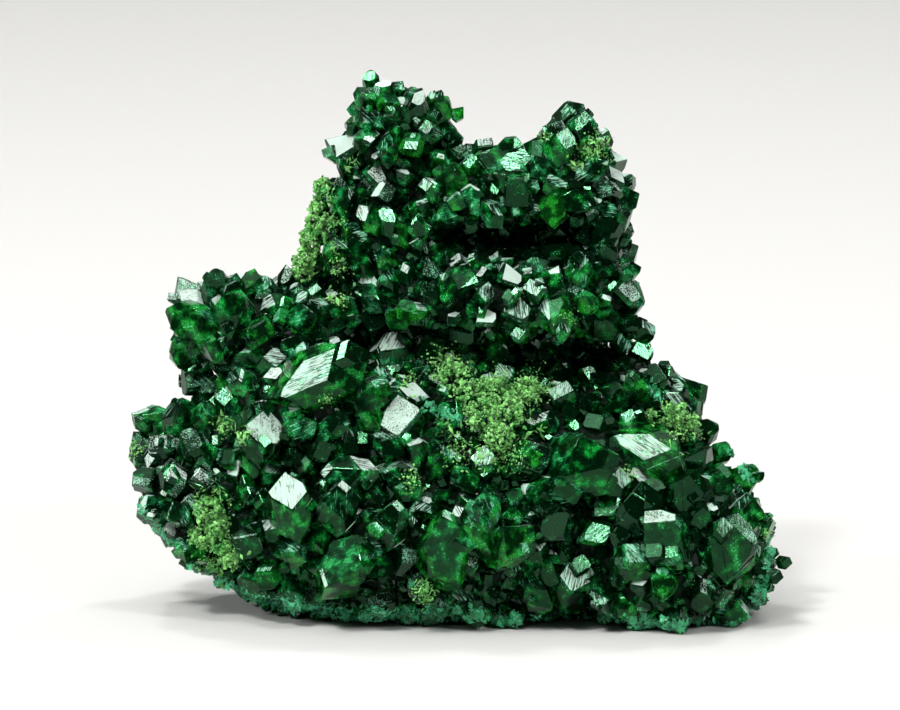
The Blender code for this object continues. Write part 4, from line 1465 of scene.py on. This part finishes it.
@dataclass
class Undergrowth:
    """The middling crystals that fill the mass between the large ones.

    Args:
        radii: the least and the largest radius, in millimetres.
        spacing: how far apart two middles stay, as a share of the sum of their radii.
        seed: seeds the draws.
        sunk: how deep their middles lie in the mass, in radii.
        elbow_room: the share of a neighbour's radius that counts.
    """

    radii: tuple[float, float] = (0.8, 2.0)
    spacing: float = 0.62
    seed: int = 41
    sunk: tuple[float, float] = (0.0, 0.35)
    elbow_room: float = 0.85

    def grow(self, ground: Ground, placed: list[Crystal]) -> list[Crystal]:
        """Sets crystals wherever the mass is bare.

        Args:
            ground: points of the mass to try.
            placed: the crystals that already stand there.

        Returns:
            The new crystals.
        """
        chance = random.Random(self.seed)
        middles = [np.array(crystal.middle) for crystal in placed]
        radii = [crystal.radius for crystal in placed]
        added = []
        for seat, normal in zip(ground.points, ground.normals):
            radius = drawn_size(self.radii, 1.6, chance)
            turn = grown_turn(Vector(normal), chance)
            stretch = chance.uniform(0.4, 1.2)
            middle = seat - normal * radius * chance.uniform(*self.sunk)
            if middle[2] < 0.4 * radius:
                continue
            apart = np.linalg.norm(np.array(middles) - middle, axis=1)
            if (apart < self.spacing * (np.array(radii) * self.elbow_room + radius)).any():
                continue
            middles.append(middle)
            radii.append(radius)
            added.append(Crystal(Vector(middle), turn, radius, stretch))
        return added


@dataclass
class Outgrowths:
    """Smaller crystals that grow out of larger ones, nearly parallel to them, and step their faces.

    Args:
        sizes: the least and the largest radius, as a share of the parent's.
        rise: how far they stand out, in their own radii.
        turn_degrees: how far they are usually turned from the parent.
        seed: seeds the draws.
    """

    sizes: tuple[float, float] = (0.22, 0.55)
    rise: tuple[float, float] = (0.05, 0.3)
    turn_degrees: float = 4
    seed: int = 45

    def grow(self, parents: list[Crystal]) -> list[Crystal]:
        """Grows them.

        Args:
            parents: the larger crystals.

        Returns:
            The outgrowths that aren't buried in another crystal.
        """
        chance = random.Random(self.seed)
        found = []
        for parent in parents:
            distances = facet_distances(parent.stretch)
            normals = parent.normals()
            for _ in range(round(1 + parent.radius)):
                way = random_way(chance)
                facing = normals @ np.array(way)
                reach = np.where(facing > 0.05, distances / np.maximum(facing, 0.05), 9)
                side = int(reach.argmin())
                if side == parent.flash:
                    continue
                radius = parent.radius * chance.uniform(*self.sizes)
                rise = radius * chance.uniform(*self.rise)
                tilt = Matrix.Rotation(math.radians(chance.gauss(0, self.turn_degrees)), 3, way)
                stretch = chance.uniform(0.4, 1.2)
                seat = np.array(parent.middle) + np.array(way) * reach[side] * parent.radius
                sunk = facet_distances(stretch)[side] * radius - rise
                middle = Vector(seat - normals[side] * sunk)
                found.append(Crystal(middle, tilt @ parent.turn, radius, stretch))
        tips = np.array([crystal.middle for crystal in found])
        buried = np.zeros(len(found), bool)
        for parent in parents:
            near = np.linalg.norm(tips - np.array(parent.middle), axis=1) < 2 * parent.radius
            buried[near] |= parent.holds(tips[near], 0.62)
        return [crystal for crystal, gone in zip(found, buried) if not gone and crystal.middle.z > 0]


@dataclass
class Druse:
    """A carpet of tiny crystals.

    Args:
        radii: the least and the largest radius, in millimetres.
        seed: seeds the draws.
    """

    radii: tuple[float, float] = (0.2, 0.7)
    seed: int = 47

    def grow(self, ground: Ground) -> list[Crystal]:
        """Sets a tiny crystal at each point of the ground.

        Args:
            ground: the points.

        Returns:
            The crystals that clear the floor.
        """
        chance = random.Random(self.seed)
        found = []
        for seat, normal in zip(ground.points, ground.normals):
            radius = drawn_size(self.radii, 2, chance)
            turn = grown_turn(Vector(normal), chance)
            stretch = chance.uniform(0.4, 1.3)
            if seat[2] > radius:
                found.append(Crystal(Vector(seat), turn, radius, stretch))
        return found


@dataclass
class Grains:
    """Loose mineral grains, all in one mesh.

    Args:
        name: the piece's name.
        radii: the least and the largest half-length, in millimetres.
        seed: seeds the draws.
        widths: the least and the largest half-width, as a share of the half-length.
        depths: the same for the third direction.
    """

    name: str
    radii: tuple[float, float]
    seed: int
    widths: tuple[float, float] = (0.5, 1.0)
    depths: tuple[float, float] = (0.35, 0.9)

    def make(self, places: Iterable[Vector], material: bpy.types.Material,
             normals: Iterable[Vector] | None = None) -> bpy.types.Object:
        """Builds the piece.

        Args:
            places: where each grain lies, in millimetres.
            material: its finish.
            normals: for flakes that lie flat, the way out of what carries each of them.

        Returns:
            The piece's object.
        """
        chance = random.Random(self.seed)
        chip = np.array(((1, 0, 0), (-1, 0, 0), (0, 1, 0), (0, -1, 0), (0, 0, 1), (0, 0, -1)), float)
        corners = np.array((0, 2, 4, 2, 1, 4, 1, 3, 4, 3, 0, 4, 2, 0, 5, 1, 2, 5, 3, 1, 5, 0, 3, 5))
        sizes = np.full(len(corners) // 3, 3)
        plain = np.zeros(len(sizes))
        unmapped = np.zeros((len(corners), 2))
        maker = MeshMaker()
        for place, normal in zip(places, normals or repeat(None)):
            size = drawn_size(self.radii, 1.5, chance)
            shape = size * np.array((1, chance.uniform(*self.widths), chance.uniform(*self.depths)))
            axis = random_way(chance)
            if normal:
                axis = (normal + axis * 0.3).normalized()
            turn = np.array(turned_to(axis, chance.uniform(0, math.tau)))
            points = chip * shape @ turn.T + np.array(place)
            tone = chance.random()
            if points[:, 2].min() > 0:
                maker.add(points, corners, sizes, tone, plain, unmapped)
        return maker.object(self.name, material)


@dataclass
class MalachiteCrust:
    """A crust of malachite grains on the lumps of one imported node.

    Args:
        node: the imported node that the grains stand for.
        rows: its lumps, as across, up and radius in the picture plane.
        seed: seeds the draws.
        per_lump: how many grains cover one lump.
        bare_below: the noise level below which the crust is bare.
        swell: how far the crust reaches on the whole, in the lump's radii.
        bumps: how far it bulges from that.
        grain_radii: the least and the largest half-length of a grain.
    """

    node: str
    rows: Sequence[Row]
    seed: int
    per_lump: int = 1000
    bare_below: float = -0.12
    swell: float = 0.76
    bumps: float = 0.5
    grain_radii: tuple[float, float] = (0.09, 0.3)

    def make(self, material: bpy.types.Material) -> bpy.types.Object:
        """Builds the crust.

        Args:
            material: its finish.

        Returns:
            The crust's object.
        """
        chance = random.Random(self.seed)
        places = []
        for across, up, radius in self.rows:
            middle = seen_at(across, up) - AWAY * radius * MALACHITE_POISE
            for _ in range(self.per_lump):
                way = random_way(chance)
                spot = middle + way * radius
                bumpy = self.swell + self.bumps * noise.noise(spot * 1.3)
                if noise.noise(spot * 0.9) > self.bare_below:
                    places.append(middle + way * radius * bumpy * chance.uniform(0.7, 1.0))
        return Grains(f"{self.node}_grains", self.grain_radii, self.seed + 1).make(places, material)


@dataclass
class SeenSurface:
    """The finished crystals as the viewer sees them, on which loose grains come to lie.

    Args:
        tree: their faces, in millimetres.
    """

    tree: BVHTree

    @classmethod
    def of(cls, pieces: Iterable[bpy.types.Object]) -> "SeenSurface":
        """Reads the surface of the given pieces.

        Args:
            pieces: the pieces.

        Returns:
            The surface.
        """
        points: list[Vector] = []
        faces: list[tuple[int, ...]] = []
        for piece in pieces:
            start = len(points)
            points.extend(vert.co / MM for vert in piece.data.vertices)
            faces.extend(tuple(start + i for i in face.vertices) for face in piece.data.polygons)
        return cls(BVHTree.FromPolygons(points, faces))

    def _first(self, start: Vector, way: Vector) -> Seen | None:
        """Returns what a look along a way meets first, or None."""
        place, normal, _, _ = self.tree.ray_cast(start, way)
        return None if place is None else (place, normal)

    def at(self, across: float, up: float) -> Seen | None:
        """Returns what is seen at a place in the picture, or None."""
        return self._first(on_picture(across, up) - AWAY * 2 * SIGHT_REACH, AWAY)

    def beside(self, bearing: float, height: float) -> Seen | None:
        """Returns what a level look at the middle meets, from a bearing in radians (0 from the right)."""
        way = Vector((math.cos(bearing), math.sin(bearing), 0))
        return self._first(way * 2 * SIGHT_REACH + Vector((0, 0, height)), -way)


@dataclass(frozen=True)
class Softbox:
    """A rectangular soft light that faces the cluster.

    Args:
        name: its name.
        place: where it hangs, in metres.
        size: its width and height, in metres.
        radiance: how bright its face is.
    """

    name: str
    place: tuple[float, float, float]
    size: tuple[float, float]
    radiance: float

    def hang(self) -> None:
        """Adds the light to the scene."""
        light = bpy.data.lights.new(self.name, "AREA")
        light.shape = "RECTANGLE"
        light.size, light.size_y = self.size
        light.energy = self.radiance * math.pi * self.size[0] * self.size[1]
        hung = linked(self.name, light)
        hung.location = self.place
        hung.rotation_euler = (LIT_MIDDLE - Vector(self.place)).to_track_quat("-Z", "Y").to_euler()

    def half_way(self, to_viewer: Vector) -> Vector:
        """Returns the direction half-way from a viewer to the light, seen from the cluster."""
        return ((Vector(self.place) - LIT_MIDDLE).normalized() + to_viewer).normalized()


@dataclass(frozen=True)
class HalfWays:
    """The directions that a facet faces when it throws a light back.

    Args:
        front: to the viewer in front.
        facing: the same, from the lights in front of the cluster alone.
        far: to somebody behind or beside the cluster.
    """

    front: list[Vector]
    facing: list[Vector]
    far: list[Vector]

    def for_place(self, place: Vector) -> list[Vector]:
        """Returns the ones that suit a crystal at this place."""
        return self.far if outward(place).dot(AWAY) > BACK_FACING else self.front


@dataclass
class Studio:
    """The floor, the soft lights and the camera.

    Args:
        distance_mm: from the picture plane to the camera.
        field_mm: width of the picture at that plane.
        picture_px: the photograph's width and height.
        base_line_px: the picture row of the lowest front edge.
        floor: colour of the floor.
        floor_side: width of the floor, in metres.
        floor_drop_mm: how far it lies under the cluster.
        air: colour of the light from all around.
        air_strength: how bright that is.
        daylight: how bright the even light from the front is.
        daylight_spread: its width, in degrees.
        daylight_turn: its direction, in degrees about each axis.
        softboxes: the small lights that the facets throw back.
        canopy: the wide light overhead.
        other_views: where others than the viewer in front look from.
    """

    distance_mm: float = 900
    field_mm: float = 90
    picture_px: tuple[int, int] = (900, 710)
    base_line_px: float = 633
    floor: str = "#D3D2CF"
    floor_side: float = 12.0
    floor_drop_mm: float = 0.02
    air: str = "#D5D8DA"
    air_strength: float = 0.1
    daylight: float = 0.75
    daylight_spread: float = 25
    daylight_turn: tuple[float, float, float] = (38, 0, -28)
    softboxes: tuple[Softbox, ...] = (
        Softbox("key_softbox", (-0.24, -0.34, 0.52), (0.08, 0.08), 94),
        Softbox("right_softbox", (0.38, -0.34, 0.38), (0.065, 0.07), 90),
        Softbox("left_softbox", (-0.50, -0.12, 0.26), (0.055, 0.09), 74),
        Softbox("rear_left_softbox", (-0.16, 0.30, 0.56), (0.08, 0.065), 62),
        Softbox("rear_right_softbox", (0.26, 0.24, 0.54), (0.065, 0.08), 62),
    )
    canopy: Softbox = Softbox("overhead_canopy", (-0.2, 0.0, 2.1), (2.4, 2.4), 1.35)
    other_views: tuple[tuple[float, float, float], ...] = ((0, 1, 0.25), (1, 0.3, 0.25), (-1, 0.3, 0.25))

    def make(self) -> None:
        """Builds the whole studio."""
        self._camera()
        self._floor()
        for box in (*self.softboxes, self.canopy):
            box.hang()
        sun = bpy.data.lights.new("even_daylight", "SUN")
        sun.energy, sun.angle = self.daylight, math.radians(self.daylight_spread)
        linked("even_daylight", sun).rotation_euler = tuple(map(math.radians, self.daylight_turn))
        world = bpy.data.worlds.new("studio_air")
        bpy.context.scene.world = world
        world.use_nodes = True
        air = world.node_tree.nodes["Background"]
        air.inputs["Color"].default_value = linear(self.air)
        air.inputs["Strength"].default_value = self.air_strength
        bpy.context.scene.view_settings.view_transform = "Standard"
        bpy.context.scene.view_settings.look = "None"

    def half_ways(self) -> HalfWays:
        """Returns the directions half-way from the viewer, and from others, to each of the small lights."""
        others = [Vector(way).normalized() for way in self.other_views]
        return HalfWays([box.half_way(-AWAY) for box in self.softboxes],
                        [box.half_way(-AWAY) for box in self.softboxes if box.place[1] < 0],
                        [box.half_way(other) for other in others for box in self.softboxes])

    def _camera(self) -> None:
        """Sets the camera at the photograph's angle and framing."""
        lens = bpy.data.cameras.new("camera")
        lens.sensor_width = 36
        lens.lens = lens.sensor_width * self.distance_mm / self.field_mm
        lens.clip_start, lens.clip_end = 0.05, 60
        camera = linked("camera", lens)
        pixel_mm = self.field_mm / self.picture_px[0]
        aim = on_picture(0, (self.base_line_px - self.picture_px[1] / 2) * pixel_mm)
        camera.location = (aim - AWAY * self.distance_mm) * MM
        camera.rotation_euler = AWAY.to_track_quat("-Z", "Y").to_euler()
        bpy.context.scene.camera = camera

    def _floor(self) -> None:
        """Lays the pale floor of matt paper."""
        bm = bmesh.new()
        bmesh.ops.create_grid(bm, x_segments=1, y_segments=1, size=self.floor_side / 2)
        mesh = bpy.data.meshes.new("floor")
        bm.to_mesh(mesh)
        bm.free()
        floor = linked("floor", mesh)
        floor.location.z = -self.floor_drop_mm * MM
        paper = bpy.data.materials.new("matt_paper")
        paper.use_nodes = True
        shader = paper.node_tree.nodes["Principled BSDF"]
        shader.inputs["Base Color"].default_value = linear(self.floor)
        shader.inputs["Roughness"].default_value = 0.9
        mesh.materials.append(paper)


@dataclass
class Brightening:
    """Turns the crystals that the picture shows bright, so that one facet of each throws a light back.

    Args:
        half_ways: the directions in which a facet does so.
        reach: how far a crystal may be from a bright place, in its own radii.
        wide: crystals with a larger radius throw back a light in front, in millimetres.
        behind: how far behind the picture plane a crystal may be, in millimetres.
    """

    half_ways: HalfWays
    reach: float = 1.2
    wide: float = 2.2
    behind: float = 6

    def miss(self, crystal: Crystal, across: float, up: float) -> float:
        """Measures how far a crystal is from a place in the picture.

        Args:
            crystal: the crystal.
            across: the place, in millimetres to the right.
            up: its height in the picture, in millimetres.

        Returns:
            The distance in the crystal's own radii, and a large one for those at the back.
        """
        if crystal.middle.dot(AWAY) > self.behind:
            return 9.0
        offset = crystal.middle - on_picture(across, up)
        return math.hypot(offset.dot(RIGHT), offset.dot(PICTURE_UP)) / crystal.radius

    def flashes(self, groups: list[CrystalGroup]) -> None:
        """Turns the crystal nearest to each of the picture's bright facets."""
        for across, up in FLASHES:
            group, index = min(
                ((group, index) for group in groups for index in range(len(group.crystals))),
                key=lambda found: self.miss(found[0].crystals[found[1]], across, up))
            crystal = group.crystals[index]
            if self.miss(crystal, across, up) < self.reach and crystal.flash < 0:
                lights = self.half_ways.facing if crystal.radius > self.wide else self.half_ways.front
                group.crystals[index] = crystal.flashing(lights)

    def glints(self, crystals: list[Crystal]) -> list[Crystal]:
        """Turns the small crystals nearest to the picture's glints.

        Args:
            crystals: the crystals.

        Returns:
            The same crystals, some of them turned.
        """
        turned = list(crystals)
        for across, up in GLINTS:
            near = [
                index for index, crystal in enumerate(turned)
                if crystal.radius < GLINT_RADIUS and crystal.flash < 0
                and self.miss(crystal, across, up) * crystal.radius < GLINT_REACH
            ]
            if near:
                nearest = min(near, key=lambda index: turned[index].middle.dot(AWAY))
                turned[nearest] = turned[nearest].flashing(self.half_ways.front)
        return turned

    def sparkle(self, crystals: list[Crystal], seed: int, share: float) -> list[Crystal]:
        """Turns a share of the crystals, wherever they are.

        Args:
            crystals: the crystals.
            seed: seeds the choice.
            share: how many of them are turned, from 0 to 1.

        Returns:
            The same crystals, some of them turned.
        """
        chance = random.Random(seed)
        return [
            crystal.flashing(self.half_ways.for_place(crystal.middle)) if chance.random() < share else crystal
            for crystal in crystals
        ]


@dataclass
class DioptaseCrystals:
    """All the dioptase: the broken mass and the crystals on it.

    Args:
        node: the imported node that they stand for.
        regions: the tables of the large crystals, with their names and habits.
        seats: how many points of the mass are tried for middling and for tiny crystals.
        buried: how deep in a crystal such a point may lie, in radii.
        shares: which shares of the back, middling and tiny crystals are turned to sparkle.
        outgrown: from this radius up, a crystal carries outgrowths.
    """

    node: str = "dioptase_cluster"
    regions: tuple[tuple[str, tuple[Row, ...], Habit], ...] = (
        ("left_peak", LEFT_PEAK, Habit.WORN), ("right_peak", RIGHT_PEAK, Habit.LARGE),
        ("ledge", LEDGE, Habit.WORN), ("left_lobe", LEFT_LOBE, Habit.WORN),
        ("left_slope", LEFT_SLOPE, Habit.LARGE), ("lower_front", LOWER_FRONT, Habit.LARGE),
        ("right_edge", RIGHT_EDGE, Habit.WORN),
    )
    seats: tuple[int, int] = (9000, 8000)
    buried: tuple[float, float] = (0.3, 0.15)
    shares: tuple[float, float, float] = (0.3, 0.14, 0.1)
    outgrown: float = 1.3

    def make(self, brightening: Brightening) -> list[bpy.types.Object]:
        """Builds the mass and every group of crystals, in the order that they grew.

        Args:
            brightening: turns crystals so that they throw the light back.

        Returns:
            The pieces.
        """
        library, finish = ShapeLibrary().grow(), EtchedDioptase().make()
        mass = BrokenMass().make(MASSIVE.make())
        ride_and_replace(mass, self.node)
        groups = self._large(brightening)
        placed = [crystal for group in groups for crystal in group.crystals]
        ground = Ground.of(mass, self.seats[0], 5).bare(placed, self.buried[0])
        middling = painted_gap_shade(Undergrowth().grow(ground, placed), placed)
        middling = brightening.glints(brightening.sparkle(middling, 44, self.shares[1]))
        near = [crystal for crystal in middling if crystal.middle.dot(AWAY) < 0]
        far = [crystal for crystal in middling if crystal.middle.dot(AWAY) >= 0]
        grown = Outgrowths().grow([crystal for crystal in placed if crystal.radius > self.outgrown])
        ground = Ground.of(mass, self.seats[1], 7).bare(placed + middling + grown, self.buried[1])
        druse = painted_gap_shade(Druse().grow(ground), placed + middling)
        groups += [
            CrystalGroup("front_undergrowth_crystals", near, Habit.SMALL, 43),
            CrystalGroup("far_undergrowth_crystals", far, Habit.SMALL, 42),
            CrystalGroup("outgrowth_crystals", grown, Habit.SMALL, 46),
            CrystalGroup("tiny_crystals", brightening.sparkle(druse, 49, self.shares[2]), Habit.TINY, 48),
        ]
        pieces = [mass]
        for group in groups:
            pieces.append(group.make(library, finish))
            ride_and_replace(pieces[-1], self.node)
        return pieces

    def _large(self, brightening: Brightening) -> list[CrystalGroup]:
        """Sets the crystals that the solid has, then the smaller ones of the tables.

        Args:
            brightening: turns crystals so that they throw the light back.

        Returns:
            Their groups.
        """
        chance = random.Random(SEED)
        groups = [CrystalGroup(f"{name}_crystals", crystals_of(rows, chance), habit, 100 + index)
                  for index, (name, rows, habit) in enumerate(self.regions)]
        front = [crystal for group in groups for crystal in group.crystals]
        back = brightening.sparkle(back_crystals(front, chance), 50, self.shares[0])
        groups.append(CrystalGroup("back_crystals", back, Habit.LARGE, 120))
        fine = crystals_of(FINE_CRYSTALS, random.Random(SEED + 1))
        groups.append(CrystalGroup("small_front_crystals", fine, Habit.SMALL, 121))
        brightening.flashes(groups)
        return groups


@dataclass
class Crusts:
    """The malachite and the teal rind on the finished crystals.

    Args:
        surface: the finished crystals.
        seed: seeds where the loose grains and the flakes lie.
        dust: the finest malachite grains.
        blades: its tufts of blades.
        flakes: the flakes of the rind.
        spread: how far grains stray, as a share of their patch's spread.
        band_spread: the same for flakes, as a share of their band's half-width.
        far_flakes: how many flakes are tried round the back.
        far_height_mm: how high those usually lie.
    """

    surface: SeenSurface
    seed: int = 61
    dust: Grains = field(default_factory=lambda: Grains("malachite_dust", (0.06, 0.2), 62))
    blades: Grains = field(default_factory=lambda: Grains(
        "malachite_blades", (0.18, 0.6), 64, (0.2, 0.45), (0.08, 0.16)))
    flakes: Grains = field(default_factory=lambda: Grains(
        "teal_rind", (0.15, 0.5), 63, (0.35, 0.8), (0.08, 0.2)))
    spread: float = 0.6
    band_spread: float = 0.5
    far_flakes: int = 2600
    far_height_mm: float = 0.7

    def make(self) -> None:
        """Builds the crusts, the loose malachite and the rind."""
        malachite = MALACHITE_FINISH.make()
        for index, (node, rows) in enumerate(MALACHITE.items()):
            ride_and_replace(MalachiteCrust(node, rows, 200 + 10 * index).make(malachite), node)
        chance = random.Random(self.seed)
        loose = [grains.make(self._loose(patches, chance), malachite)
                 for patches, grains in ((MALACHITE_DUST, self.dust), (MALACHITE_TUFTS, self.blades))]
        places, normals = zip(*self._rind(chance))
        loose.append(self.flakes.make(places, RIND_FINISH.make(), normals))
        for piece in loose:
            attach(piece, BODY)
            report(piece)

    def _loose(self, patches: Iterable[Row], chance: random.Random) -> list[Vector]:
        """Scatters grains over patches of the picture.

        Args:
            patches: the patches, as across, up, spread and how many.
            chance: draws the places.

        Returns:
            Where the grains lie, in millimetres.
        """
        places = []
        for across, up, spread, count in patches:
            for _ in range(count):
                seen = self.surface.at(across + chance.gauss(0, spread * self.spread),
                                       up + chance.gauss(0, spread * self.spread))
                if seen:
                    places.append(seen[0] - AWAY * chance.uniform(0.0, 0.35))
        return places

    def _rind(self, chance: random.Random) -> list[Seen]:
        """Scatters flakes along the bands of the rind, and round the back of the foot.

        Args:
            chance: draws the places.

        Returns:
            Where the flakes lie, with the way out of what carries them.
        """
        flakes = []
        for start, end, half_width, count in RIND_BANDS:
            stray = half_width * self.band_spread
            for _ in range(count):
                share = chance.random()
                across = start[0] + (end[0] - start[0]) * share + chance.gauss(0, stray)
                up = start[1] + (end[1] - start[1]) * share + chance.gauss(0, stray)
                flakes.append(self.surface.at(across, up))
        for _ in range(self.far_flakes):
            bearing = chance.uniform(0, math.pi)
            seen = self.surface.beside(bearing, 0.2 + abs(chance.gauss(0, self.far_height_mm)))
            if seen and noise.noise(seen[0] * 0.3) > -0.1:
                flakes.append(seen)
        return [seen for seen in flakes if seen]


def main() -> None:
    """Builds the studio and the specimen, and logs how many triangles each piece has."""
    logging.basicConfig(level=logging.INFO, format="%(name)s: %(message)s")
    studio = Studio()
    studio.make()
    pieces = DioptaseCrystals().make(Brightening(studio.half_ways()))
    Crusts(SeenSurface.of(pieces)).make()


if __name__ == "__main__":
    main()
